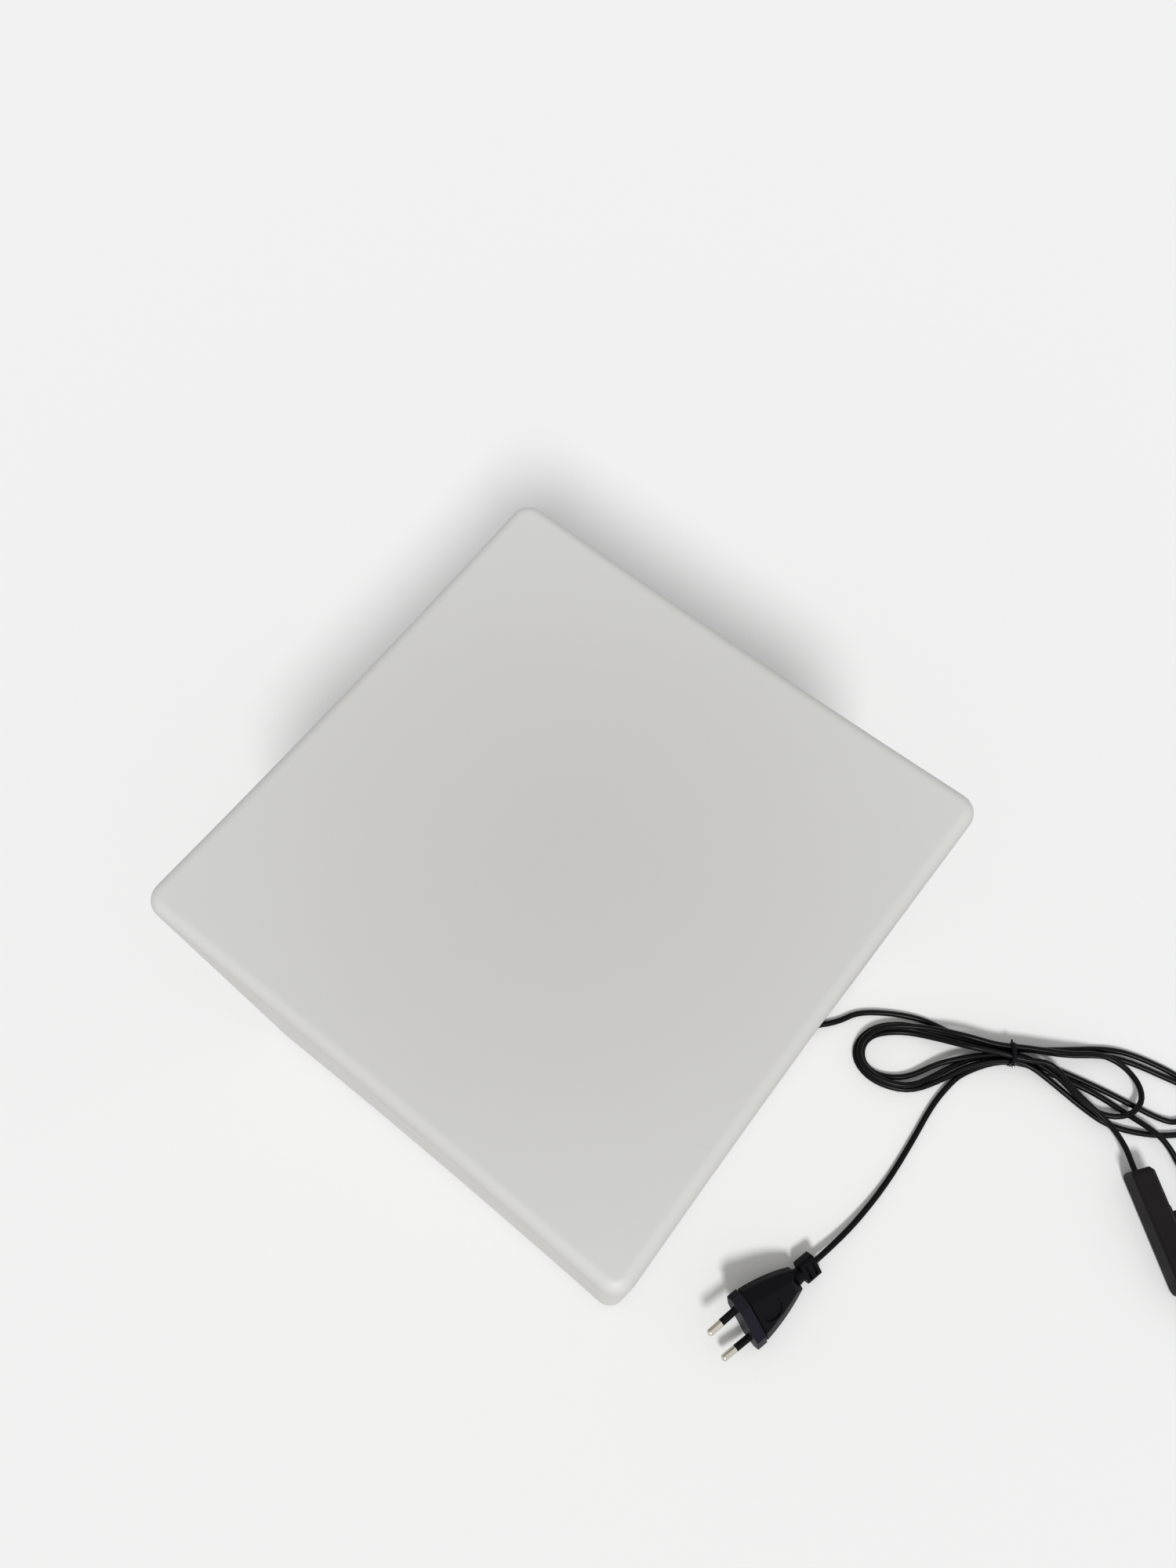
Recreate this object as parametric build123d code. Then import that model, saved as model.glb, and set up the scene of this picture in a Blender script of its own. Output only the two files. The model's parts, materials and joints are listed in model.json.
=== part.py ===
from build123d import *
import math
import os

# Cube light: a hollow moulded cube that glows, standing on its flat underside.
# All sizes are in millimetres. The origin is the centre of the underside, +Z is up, and the
# cord leaves the cube low on its +X side.

# ---- the moulded cube ----
CUBE_WIDTH = 250.0
CUBE_HEIGHT = 250.0
WALL = 3.5
FACE_BOW = 1.4  # how far a side is drawn in at its middle
CORNER_R = 9.0  # the four upright edges
RIM_R = 5.75  # the edges round the top and the underside
INNER_CORNER_R = 6.0

# ---- the well in the underside and the cable channel ----
WELL_R = 62.0
SEAT_Z = 44.0  # underside of the ring that the base cover is screwed to
SEAT_HOLE_R = 50.0
CHANNEL_WIDTH = 8.0
CHANNEL_HEIGHT = 6.5
CHANNEL_ANGLE = 45.0  # direction of the channel, from +X towards +Y
CHANNEL_FROM_GLAND = 40.0  # where it starts inside the well
WELL_MOUTH = 2.5

# ---- base cover, its gasket and fasteners ----
COVER_T = 3.5
GASKET_T = 1.5
COVER_CLEARANCE = 0.8  # between the cover's rim and the wall of the well
DOME_CLEARANCE = 1.0  # between the raised middle and the seat ring
PLATE_TOP = 52.0  # top of the raised middle of the cover
DOME_WALL = 3.0
COVER_SCREWS = 4
SCREW_CIRCLE_R = 56.0
SCREW_R = 2.0
SCREW_HEAD_R = 3.8
SCREW_HEAD_T = 2.4
SCREW_HOLE_GAP = 0.3
INSERT_R = 3.2
BOSS_R = 5.5
BOSS_HEIGHT = 8.5

# ---- cable gland in the cover ----
GLAND_X = 26.00505  # the gland's place, from which the channel runs to the +X face
GLAND_Y = -24.99495
GLAND_THREAD_R = 6.0
GLAND_HEX = 15.0
GLAND_OUTLET_Z = 36.0
GLAND_TOP_Z = 58.0

# ---- lamp holder on the middle of the cover ----
HOLDER_R = 20.0
HOLDER_WALL = 2.4
HOLDER_CAP_H = 24.0
HOLDER_BODY_H = 33.0
LAMP_CAP_R = 13.1  # outside of the bulb's screw cap
LAMP_FIT = 0.1  # radial gap between the bulb's cap and the holder's contact shell
SHELL_T = 0.5
NIPPLE_R = 5.0
NIPPLE_BORE_R = 3.9
LEAD_HOLE_Z = 72.0  # where the lead enters the side of the holder's cap
CORE_T = 6.0

# ---- bulb ----
BULB_R = 30.0
BULB_LENGTH = 104.0
BULB_CAP_H = 23.0
BULB_NECK_H = 26.0
BULB_SKIN = 1.6

# ---- cord ----
CORD_R = 1.65
FLOOR_GAP = 0.05  # the cord's underside above the surface that it lies on
TURN_SHARE = 0.45  # share of the shorter run that a bend of a free stretch takes up

# ---- hank: three loops each way, drawn in at the tie ----
TIE_AT = (219.5, 125.9)
HANK_ANGLE = 34.0
RIGHT_ANGLE = 20.0
LEFT_ANGLE = 38.0
LOOPS = 3
PITCH = 3.75  # between the strands that lie side by side or on each other
WAIST_HALF = 8.0  # half the stretch in which the strands run side by side
FLOOR_STRAND = 1.75  # a strand's centre that is no higher than this lies on the floor
STRAND_END = 4.0  # straight stretch at each end of the hank's tube
TIED_RUN = 10.0  # first run of a lead that leaves the hank
TIE_T = 0.8
TIE_WIDTH = 3.0
TIE_GAP = 0.15
KNOT_R = 1.5

# ---- in-line switch, lying on its side ----
SWITCH_LENGTH = 66.6
SWITCH_WIDTH = 17.0
SWITCH_THICK = 13.2
SWITCH_SPLIT = 10.3
SWITCH_CORNER_R = 3.5
SWITCH_BEVEL = 1.8
SWITCH_BACK_R = 2.5
SWITCH_WALL = 1.5
SWITCH_POST_Y = -5.0
SWITCH_POST_R = 2.4
SWITCH_SCREW_R = 0.9
SWITCH_HEAD_R = 1.45
SWITCH_HEAD_T = 1.2
SWITCH_AT = (329.85, 88.35)
SWITCH_ANGLE = -36.3
SWITCH_CORD_Z = 5.2
SWITCH_CORD_GRIP = 4.0  # how far the cord reaches into the housing
SWITCH_STUB = 2.7  # how far it runs on straight outside
ROCKER_LENGTH = 20.0
ROCKER_WIDTH = 9.6
ROCKER_GAP = 0.35
ROCKER_TILT = 10.0
PIVOT_Z = 10.3
PIVOT_R = 1.3
PIVOT_FIT = 0.08

# ---- flat two-pin plug ----
PLUG_WIDTH = 35.3
PLUG_THICK = 13.7
PLUG_FLAT = 21.3  # width of the flat side between the sloping ones
PLUG_EDGE = 4.5  # height of the narrow sides between the sloping ones
PLUG_FACE_T = 6.3
PLUG_TAIL = 38.0  # from the face to the end of the moulded body
PLUG_LENGTH = 52.0
PLUG_BLOCK_X = -46.6
PLUG_BLOCK_LENGTH = 9.6
PLUG_AT = (181.7, -86.3, 12.69)
PLUG_ANGLE = -104.5
PLUG_PITCH = 7.2
PLUG_ROLL = -35.0
PLUG_STUB = 9.0  # straight stretch of cord behind it
PIN_R = 2.0
PIN_CORE_R = 1.55
PIN_LENGTH = 19.0
PIN_SLEEVE = 10.0
PIN_SPACING = 18.6
PIN_TOE_IN = 1.65


# ---------------------------------------------------------------- small helpers


def column(radius, bottom, top, x=0, y=0):
    """An upright cylinder from one height to another."""
    return Pos(x, y, (bottom + top) / 2) * Cylinder(radius, top - bottom)


def tube(outer, inner, bottom, top, x=0, y=0):
    return column(outer, bottom, top, x, y) - column(inner, bottom - 1, top + 1, x, y)


def turned(profile):
    """The solid of revolution about Z of a closed outline of (radius, height) points."""
    outline = Polyline(*[(r, 0, z) for r, z in profile], close=True)
    return revolve(make_face(outline), Axis.Z)


def hexagon(across_flats, bottom, top, bore=0, x=0, y=0):
    """A hexagonal nut, with an optional bore."""
    nut = extrude(RegularPolygon(across_flats / 2, 6, major_radius=False), top - bottom)
    nut = Pos(x, y, bottom) * nut
    if bore:
        nut -= column(bore, bottom - 1, top + 1, x, y)
    return nut


def save(name, *solids):
    """Writes one named piece, or a group of identical ones, to its own file."""
    found = [s for part in solids for s in part.solids()]
    piece = found[0] if len(found) == 1 else Compound(children=found)
    piece.label = name
    export_step(piece, f"parts/{name}.step")
    return piece


# ---------------------------------------------------------------- the moulded cube


def cube_form(width, bottom, top, corner_r, rim_r):
    """A block whose sides are drawn in a little along their length, rounded on every edge."""
    half = width / 2
    waist_at = half - FACE_BOW
    with BuildSketch() as plan:
        with BuildLine():
            ThreePointArc((half, -half), (waist_at, 0), (half, half))
            ThreePointArc((half, half), (0, waist_at), (-half, half))
            ThreePointArc((-half, half), (-waist_at, 0), (-half, -half))
            ThreePointArc((-half, -half), (0, -waist_at), (half, -half))
        make_face()
        fillet(plan.vertices(), corner_r)
    body = Pos(0, 0, bottom) * extrude(plan.sketch, top - bottom)
    rims = body.faces().sort_by(Axis.Z)[0].edges() + body.faces().sort_by(Axis.Z)[-1].edges()
    return fillet(rims, rim_r)


def gland_from_exit():
    """How far the gland lies back from the +X face, along the channel."""
    return (CUBE_WIDTH / 2 - GLAND_X) / math.cos(math.radians(CHANNEL_ANGLE))


def along_channel(distance):
    """The place at a distance back from the +X face, on the channel's centre line."""
    turn = math.radians(CHANNEL_ANGLE)
    further = gland_from_exit() - distance
    return GLAND_X + further * math.cos(turn), GLAND_Y + further * math.sin(turn)


def channel_block(width, height, start, end):
    """A bar along the cable channel, between two distances back from the +X face."""
    x, y = along_channel((start + end) / 2)
    bar = Box(end - start, width, height)
    return Pos(x, y, height / 2) * Rot(0, 0, CHANNEL_ANGLE) * bar


def screw_places():
    step = 360 / COVER_SCREWS
    for number in range(COVER_SCREWS):
        turn = math.radians(step * (number + 0.5) + CHANNEL_ANGLE)
        yield SCREW_CIRCLE_R * math.cos(turn), SCREW_CIRCLE_R * math.sin(turn)


def cube_shell():
    outer = cube_form(CUBE_WIDTH, 0, CUBE_HEIGHT, CORNER_R, RIM_R)
    inner_width = CUBE_WIDTH - 2 * (WALL + FACE_BOW)
    cavity = Pos(0, 0, CUBE_HEIGHT / 2) * Box(inner_width, inner_width, CUBE_HEIGHT - 2 * WALL)
    cavity = fillet(cavity.edges().filter_by(Axis.Z), INNER_CORNER_R)
    cavity -= column(WELL_R + WALL, 0, SEAT_Z + WALL)
    inner_end = gland_from_exit() - CHANNEL_FROM_GLAND
    cavity -= channel_block(CHANNEL_WIDTH + 2 * WALL, CHANNEL_HEIGHT + WALL, -10, inner_end)
    for x, y in screw_places():
        cavity -= column(BOSS_R, SEAT_Z, SEAT_Z + BOSS_HEIGHT, x, y)
    shell = outer - cavity
    shell -= column(WELL_R, -1, SEAT_Z)
    shell -= column(SEAT_HOLE_R, SEAT_Z - 1, SEAT_Z + WALL + 1)
    for x, y in screw_places():
        shell -= column(INSERT_R, SEAT_Z - 1, SEAT_Z + BOSS_HEIGHT - 1.5, x, y)
    mouth = shell.edges().filter_by(GeomType.CIRCLE).filter_by(
        lambda e: abs(e.center().Z) < 0.1 and abs(e.radius - WELL_R) < 0.1
    )
    shell = chamfer(mouth, WELL_MOUTH)
    channel = channel_block(CHANNEL_WIDTH, 2 * CHANNEL_HEIGHT, -10, inner_end)
    channel = Pos(0, 0, -CHANNEL_HEIGHT) * channel
    roof = channel.edges().filter_by(
        lambda e: e.center().Z > CHANNEL_HEIGHT - 0.1 and e.length > 50
    )
    return shell - fillet(roof, 2.5)


# ---------------------------------------------------------------- base cover and fasteners


def gland_place():
    return GLAND_X, GLAND_Y


def cover_top():
    return SEAT_Z - GASKET_T


def base_cover():
    """A flanged cover with a raised middle that carries the lamp holder and the gland."""
    flange_top = cover_top()
    flange_r = WELL_R - COVER_CLEARANCE
    dome_r = SEAT_HOLE_R - DOME_CLEARANCE
    flange_z = flange_top - COVER_T
    plate_z = PLATE_TOP - DOME_WALL
    outline = [
        (0, plate_z),
        (dome_r - DOME_WALL - 1.5, plate_z),
        (dome_r - DOME_WALL, plate_z - 1.5),
        (dome_r - DOME_WALL, flange_z),
        (flange_r, flange_z),
        (flange_r, flange_top),
        (dome_r, flange_top),
        (dome_r, PLATE_TOP - 1.5),
        (dome_r - 1.5, PLATE_TOP),
        (0, PLATE_TOP),
    ]
    cover = turned(outline)
    rib = Box(dome_r - DOME_WALL - HOLDER_R, 2, plate_z - flange_z - 2)
    rib_x = (dome_r - DOME_WALL + HOLDER_R) / 2
    for number in range(COVER_SCREWS):
        turn = 360 / COVER_SCREWS * (number + 0.5) + CHANNEL_ANGLE
        rib_z = (plate_z + flange_z) / 2 + 1
        cover += Rot(0, 0, turn) * Pos(rib_x, 0, rib_z) * rib
    gland_x, gland_y = gland_place()
    cover -= column(GLAND_THREAD_R, plate_z - 1, PLATE_TOP + 1, gland_x, gland_y)
    cover -= column(NIPPLE_R, plate_z - 1, PLATE_TOP + 1)
    for x, y in screw_places():
        cover -= column(SCREW_R + SCREW_HOLE_GAP, flange_z - 1, flange_top + 1, x, y)
    return cover


def base_gasket():
    inner = SEAT_HOLE_R + 0.8
    gasket = tube(WELL_R - COVER_CLEARANCE, inner, cover_top(), SEAT_Z)
    for x, y in screw_places():
        gasket -= column(SCREW_R + SCREW_HOLE_GAP, cover_top() - 1, SEAT_Z + 1, x, y)
    return gasket


def cover_screws():
    """Pan-head screws with a cross recess, driven up into the threaded inserts."""
    seat = cover_top() - COVER_T
    top = SEAT_Z + BOSS_HEIGHT - 3
    for x, y in screw_places():
        head = turned(
            [
                (0, seat - SCREW_HEAD_T),
                (SCREW_HEAD_R - 1.2, seat - SCREW_HEAD_T),
                (SCREW_HEAD_R, seat - SCREW_HEAD_T + 1.1),
                (SCREW_HEAD_R, seat),
                (SCREW_R, seat),
                (SCREW_R, top - 0.6),
                (SCREW_R - 0.6, top),
                (0, top),
            ]
        )
        low = seat - SCREW_HEAD_T
        head -= Pos(0, 0, low) * Box(4.2, 0.9, 2.4)
        head -= Pos(0, 0, low) * Box(0.9, 4.2, 2.4)
        yield Pos(x, y) * head


def cover_inserts():
    """Threaded brass inserts held in the bosses of the seat ring."""
    for x, y in screw_places():
        top = SEAT_Z + BOSS_HEIGHT - 1.5
        insert = tube(INSERT_R, SCREW_R, SEAT_Z, top, x, y)
        for height in (SEAT_Z + 2.2, SEAT_Z + 4.4):
            insert -= tube(INSERT_R + 1, INSERT_R - 0.35, height, height + 0.8, x, y)
        yield insert


# ---------------------------------------------------------------- cable gland


def gland_body():
    """Hexagon, threaded neck through the cover and a domed nut below."""
    x, y = gland_place()
    plate_z = PLATE_TOP - DOME_WALL
    bore = CORD_R + 0.9
    dome = turned(
        [
            (bore, GLAND_OUTLET_Z),
            (4.2, GLAND_OUTLET_Z),
            (6.6, GLAND_OUTLET_Z + 3.5),
            (6.9, plate_z - 5.5),
            (GLAND_THREAD_R, plate_z - 5.5),
            (GLAND_THREAD_R, GLAND_TOP_Z),
            (bore, GLAND_TOP_Z),
        ]
    )
    dome += hexagon(GLAND_HEX, plate_z - 5, plate_z, bore)
    return Pos(x, y) * dome


def gland_seal():
    x, y = gland_place()
    bore = CORD_R + 0.9
    return tube(bore, CORD_R, GLAND_OUTLET_Z + 1, GLAND_TOP_Z - 8, x, y)


def gland_nut():
    x, y = gland_place()
    return hexagon(GLAND_HEX, PLATE_TOP, PLATE_TOP + 3.5, GLAND_THREAD_R, x, y)


# ---------------------------------------------------------------- lamp holder


def holder_nipple():
    bottom = PLATE_TOP - DOME_WALL - 5
    top = PLATE_TOP + 3 + HOLDER_WALL + 3
    return tube(NIPPLE_R, NIPPLE_BORE_R, bottom, top)


def holder_nuts():
    plate_z = PLATE_TOP - DOME_WALL
    seat = PLATE_TOP + 3 + HOLDER_WALL
    yield hexagon(14, plate_z - 3, plate_z, NIPPLE_R)
    yield hexagon(14, seat, seat + 2.5, NIPPLE_R)


def cap_top():
    return PLATE_TOP + HOLDER_CAP_H


def core_bottom():
    return cap_top() + 1


def shell_bottom():
    return core_bottom() + CORE_T


def lead_direction():
    """Unit direction, in plan, from the gland towards the holder's axis."""
    x, y = gland_place()
    reach = math.hypot(x, y)
    return -x / reach, -y / reach


def holder_cap():
    """The lower cup of the holder, on a short foot, open upwards."""
    inner = HOLDER_R - HOLDER_WALL
    floor = PLATE_TOP + 3
    cap = turned(
        [
            (NIPPLE_R, PLATE_TOP),
            (HOLDER_R - 6, PLATE_TOP),
            (HOLDER_R - 4.5, PLATE_TOP + 1.5),
            (HOLDER_R, PLATE_TOP + 7),
            (HOLDER_R, cap_top()),
            (inner, cap_top()),
            (inner, floor + HOLDER_WALL + 4),
            (inner - 4, floor + HOLDER_WALL),
            (NIPPLE_R, floor + HOLDER_WALL),
        ]
    )
    dx, dy = lead_direction()
    turn = math.degrees(math.atan2(dy, dx))
    hole = Rot(0, 90, 0) * Cylinder(CORD_R + 0.2, 12)
    cap -= Rot(0, 0, turn) * Pos(-HOLDER_R, 0, LEAD_HOLE_Z) * hole
    return cap


def holder_body():
    """The upper sleeve of the holder, ribbed for grip, round the contact shell."""
    bottom = cap_top()
    top = bottom + HOLDER_BODY_H
    bore = LAMP_CAP_R + LAMP_FIT + SHELL_T
    body = turned(
        [
            (bore + 2.5, bottom),
            (HOLDER_R, bottom),
            (HOLDER_R, bottom + 9),
            (HOLDER_R - 1.5, bottom + 10.5),
            (HOLDER_R - 1.5, top - 4),
            (HOLDER_R - 0.2, top - 3),
            (HOLDER_R - 0.2, top),
            (bore + 0.6, top),
            (bore, top - 1),
            (bore, shell_bottom()),
            (bore + 2.5, shell_bottom()),
        ]
    )
    for number in range(12):
        notch = Pos(HOLDER_R, 0, bottom + 4.5) * Box(1.2, 2.2, 6)
        body -= Rot(0, 0, 30 * number) * notch
    return body


def holder_core():
    """Insulating disc that carries the contacts, with passages for the two cores."""
    radius = LAMP_CAP_R + LAMP_FIT + SHELL_T + 2.4
    core = column(radius, core_bottom(), shell_bottom())
    for side in (-1, 1):
        core -= column(2.6, core_bottom() - 1, shell_bottom() + 1, side * 9, 0)
    core -= column(1.6, core_bottom() - 1, shell_bottom() + 1)
    core += tube(6.5, 5, shell_bottom(), shell_bottom() + 1.5)
    return core


def holder_contact_shell():
    inner = LAMP_CAP_R + LAMP_FIT
    top = cap_top() + HOLDER_BODY_H - 4
    base = shell_bottom()
    shell = tube(inner + SHELL_T, inner, base, top)
    shell += tube(inner + SHELL_T, 10.9, base, base + SHELL_T)
    for side in (-1, 1):
        shell -= column(2.6, base - 1, base + 1, side * 9, 0)
    return shell


def holder_centre_contact():
    """A riveted spring tongue that presses against the bulb's tip."""
    base = shell_bottom()
    rivet = column(1.6, core_bottom() - 0.8, base)
    rivet += column(3, core_bottom() - 1.6, core_bottom() - 0.01)
    strip = Pos(0, 0, base + 0.3) * Box(8.6, 3.6, 0.6)
    tongue = Pos(1.1, 0, base + 1.35) * Rot(0, -18, 0) * Box(7, 3.6, 0.5)
    heel = Pos(-2.6, 0, base + 0.45) * Box(3, 3.6, 0.9)
    return rivet + strip + heel + tongue


def holder_terminals():
    """Two clamp blocks under the core, each with its screw."""
    for side in (-1, 1):
        block = Pos(side * 9, 0, core_bottom() - 3.5) * Box(6, 7, 7)
        block -= Pos(side * 9, 0, core_bottom() - 4.5) * Rot(90, 0, 0) * Cylinder(1.1, 9)
        block += column(2.5, core_bottom() - 0.01, shell_bottom() - 0.2, side * 9, 0)
        screw = Pos(side * 12.4, 0, core_bottom() - 3.5) * Rot(0, 90, 0) * Cylinder(1.9, 1.6)
        yield block + screw


def holder_lead():
    """The lead inside the cube, from the gland's top over into the holder."""
    x, y = gland_place()
    dx, dy = lead_direction()
    bend = LEAD_HOLE_Z - GLAND_TOP_Z
    reach = math.hypot(x, y)
    start = Vector(x, y, GLAND_OUTLET_Z + 12)
    corner = Vector(x, y, LEAD_HOLE_Z)
    end = Vector(x + dx * (reach - 15.6), y + dy * (reach - 15.6), LEAD_HOLE_Z)
    path = FilletPolyline(start, corner, end, radius=bend)
    return sweep(Plane(start, z_dir=(0, 0, 1)) * Circle(CORD_R), path)


# ---------------------------------------------------------------- bulb


def bulb_bottom():
    return shell_bottom() + 2.35


def bulb_levels():
    """Heights of the cap's foot, the neck's foot and the dome's foot, and the bulb's top."""
    cap = bulb_bottom() + 3.2
    neck = cap + BULB_CAP_H
    dome = neck + BULB_NECK_H
    return cap, neck, dome, bulb_bottom() + BULB_LENGTH


def bulb_tip_contact():
    low = bulb_bottom()
    cap = bulb_levels()[0]
    return turned([(0, low), (3.2, low), (4.4, low + 0.8), (4.4, cap - 1.2), (0, cap - 1.2)])


def bulb_tip_insulator():
    low = bulb_levels()[0] - 1.2
    cap = bulb_levels()[0]
    outline = [(0, low), (5.5, low), (LAMP_CAP_R - 1.2, cap), (LAMP_CAP_R - 1.2, cap + 1), (0, cap + 1)]
    return turned(outline)


def bulb_screw_cap():
    """The thin metal cap, drawn in at the foot, rolled into shallow rounds."""
    cap, neck, _, _ = bulb_levels()
    wall = 0.4
    rounds = []
    inner_rounds = []
    turns = 5
    step = 3.2
    for number in range(turns):
        foot = cap + 3 + number * step
        rounds += [(LAMP_CAP_R - 0.7, foot), (LAMP_CAP_R, foot + step / 2)]
        inner_rounds += [(LAMP_CAP_R - 0.7 - wall, foot), (LAMP_CAP_R - wall, foot + step / 2)]
    top = cap + 3 + turns * step
    outer = [(LAMP_CAP_R - 1.2, cap), (LAMP_CAP_R - 0.7, cap + 1.5)] + rounds
    outer += [(LAMP_CAP_R - 0.4, top), (LAMP_CAP_R - 0.4, neck)]
    inner = [(LAMP_CAP_R - 1.6, cap + 1), (LAMP_CAP_R - 1.2 - wall, cap + 1.5)] + inner_rounds
    inner += [(LAMP_CAP_R - 0.8, top), (LAMP_CAP_R - 0.8, neck)]
    return turned(outer + inner[::-1] + [(LAMP_CAP_R - 1.2, cap + 1)])


def bulb_body():
    """The plastic skirt between the cap and the dome, hollow for the driver."""
    _, neck, dome, _ = bulb_levels()
    foot = neck - 4
    spigot = LAMP_CAP_R - 0.8
    return turned(
        [
            (spigot - BULB_SKIN, foot),
            (spigot, foot),
            (spigot, neck),
            (LAMP_CAP_R + 0.3, neck),
            (LAMP_CAP_R + 1.4, neck + 4),
            (LAMP_CAP_R + 6, neck + 11),
            (BULB_R - 3, neck + 19),
            (BULB_R - 0.2, dome - 2),
            (BULB_R - 0.2, dome),
            (BULB_R - 4.5, dome),
            (BULB_R - 3 - BULB_SKIN, neck + 20),
            (LAMP_CAP_R + 5 - BULB_SKIN, neck + 12),
            (spigot - BULB_SKIN, neck + 4),
        ]
    )


def bulb_diffuser():
    """The opal dome, a sphere with an open foot that snaps over the skirt."""
    _, _, dome, top = bulb_levels()
    centre = top - BULB_R
    ball = Pos(0, 0, centre) * Sphere(BULB_R)
    ball -= Pos(0, 0, centre) * Sphere(BULB_R - BULB_SKIN)
    sleeve = tube(BULB_R, BULB_R - BULB_SKIN, dome, centre)
    keep = column(BULB_R + 1, centre, top + 1)
    return (ball & keep) + sleeve


def bulb_led_board():
    """A round aluminium board with a ring of light chips."""
    _, _, dome, _ = bulb_levels()
    board = column(BULB_R - BULB_SKIN - 0.2, dome, dome + 1.4)
    for number in range(10):
        chip = Pos(BULB_R - 11, 0, dome + 1.4 + 0.4) * Box(3.5, 2.8, 0.8)
        board += Rot(0, 0, 36 * number) * chip
    return board


def bulb_driver_board():
    """The small upright supply board inside the skirt, with its coil and capacitor."""
    cap, _, dome, _ = bulb_levels()
    low = cap + 2
    board = Pos(0, 0, (low + dome) / 2) * Box(17, 1.6, dome - low)
    board += column(4, low + 20, low + 33, 0, -4.6)
    board += Pos(2, 4.3, low + 26) * Box(9, 7, 9)
    return board


# ---------------------------------------------------------------- hank of cord


def placed(angle, along, across, height):
    """A place in plan at the tie, along and across a direction, at a height."""
    turn = math.radians(angle)
    x = TIE_AT[0] + along * math.cos(turn) - across * math.sin(turn)
    y = TIE_AT[1] + along * math.sin(turn) + across * math.cos(turn)
    return Vector(x, y, height)


def heading(angle):
    return Vector(math.cos(math.radians(angle)), math.sin(math.radians(angle)), 0)


def level(number):
    """Height of a strand's centre that lies on so many others."""
    return CORD_R + FLOOR_GAP + number * PITCH


def waist(side, column_number, row, further=0):
    """A strand's place at one end of the tied stretch, in the grid of strands."""
    height = level(row) + TIE_T + TIE_GAP
    return placed(HANK_ANGLE, side * (WAIST_HALF + further), column_number * PITCH, height)


# The places that each loop passes, outwards and back, as the distance along and across the
# lobe's own direction and the height. The right-hand lobes come first, the largest at the start.
RIGHT_LOBES = [
    [(29.5, 13.4, 1.7), (50, 20.5, 1.7), (68, 22.5, 1.7), (91, 19.3, 1.7)]
    + [(103.6, 13.7, 1.7), (110.3, 4.6, 1.7), (109, -6, 1.7), (100, -13.4, 1.7)]
    + [(83, -19, 1.7), (62, -21.7, 1.7), (45, -18.6, 2.2), (26.7, -12.8, 4.6)],
    [(30.2, 9.9, 5.4), (50, 16.4, 1.7), (68, 17.8, 1.7), (87.3, 15.3, 1.7)]
    + [(95.7, 13.2, 1.7), (102.8, 8.2, 1.7), (103.4, 0, 1.7), (97.4, -6, 1.7)]
    + [(88.9, -7.4, 1.7), (71, -5.4, 1.7), (52, -2.2, 1.7), (31, 0.3, 1.7)],
    [(30, 9.8, 10.2), (46, 15.2, 6.1), (60, 14.2, 5.5), (71, 7, 5.4), (75, -2.9, 5.9)]
    + [(68.9, -12.9, 6.2), (56, -16.9, 4.1), (41.9, -12.9, 5.3), (27.4, -4.5, 6.2)],
]
LEFT_LOBES = [
    [(-25, -7.1, 4.9), (-41.8, -14.5, 2.4), (-60, -19.5, 1.7), (-78, -14.8, 1.7)]
    + [(-87.7, -4.4, 1.7), (-86.7, 7, 1.7), (-76.1, 15.6, 1.7), (-60, 17.6, 1.7)]
    + [(-43.4, 13.5, 3), (-25.4, 8.4, 6.4)],
    [(-25.6, -3.1, 2.6), (-42.3, -10.8, 4.5), (-60, -17.5, 5.2), (-77, -13.6, 5.2)]
    + [(-86, -4.4, 5.1), (-85.2, 6.6, 5.2), (-75, 14.4, 5.2), (-60, 16.2, 5.4)]
    + [(-43.1, 14.1, 7), (-25.1, 9.3, 11.2)],
    [(-25.1, -1.9, 7.3), (-42, -5.4, 4.6), (-60, -11.6, 1.7), (-76.2, -10.4, 1.7)]
    + [(-83.3, -4.3, 1.7), (-83.6, 4.7, 1.7), (-76.7, 11, 1.7), (-60, 12.7, 1.7)]
    + [(-43, 9.4, 4.6), (-25, 3.6, 11.7)],
]
# The column and row of the tied stretch in which each lobe starts and ends.
RIGHT_FROM = [(1, 0), (1, 1), (1, 2)]
RIGHT_TO = [(-1, 1), (0, 0), (0, 1)]
LEFT_TO = [(1, 1), (1, 2), (0, 2)]
LAST_STRAND = (-1, 2)


def hank_start():
    return waist(-1, *RIGHT_FROM[0], further=STRAND_END)


def hank_end():
    return waist(1, *LAST_STRAND, further=STRAND_END)


def hank_places():
    """Every place that the hank's strand passes, with its direction inside the tie."""
    out = heading(HANK_ANGLE)
    back = heading(HANK_ANGLE + 180)
    places = [(hank_start(), out), (waist(-1, *RIGHT_FROM[0]), out)]
    for loop in range(LOOPS):
        places.append((waist(1, *RIGHT_FROM[loop]), out))
        places += [(placed(RIGHT_ANGLE, *place), None) for place in RIGHT_LOBES[loop]]
        places.append((waist(1, *RIGHT_TO[loop]), back))
        places.append((waist(-1, *RIGHT_TO[loop]), back))
        places += [(placed(LEFT_ANGLE, *place), None) for place in LEFT_LOBES[loop]]
        places.append((waist(-1, *LEFT_TO[loop]), out))
    return places + [(waist(1, *LAST_STRAND), out), (hank_end(), out)]


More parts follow.
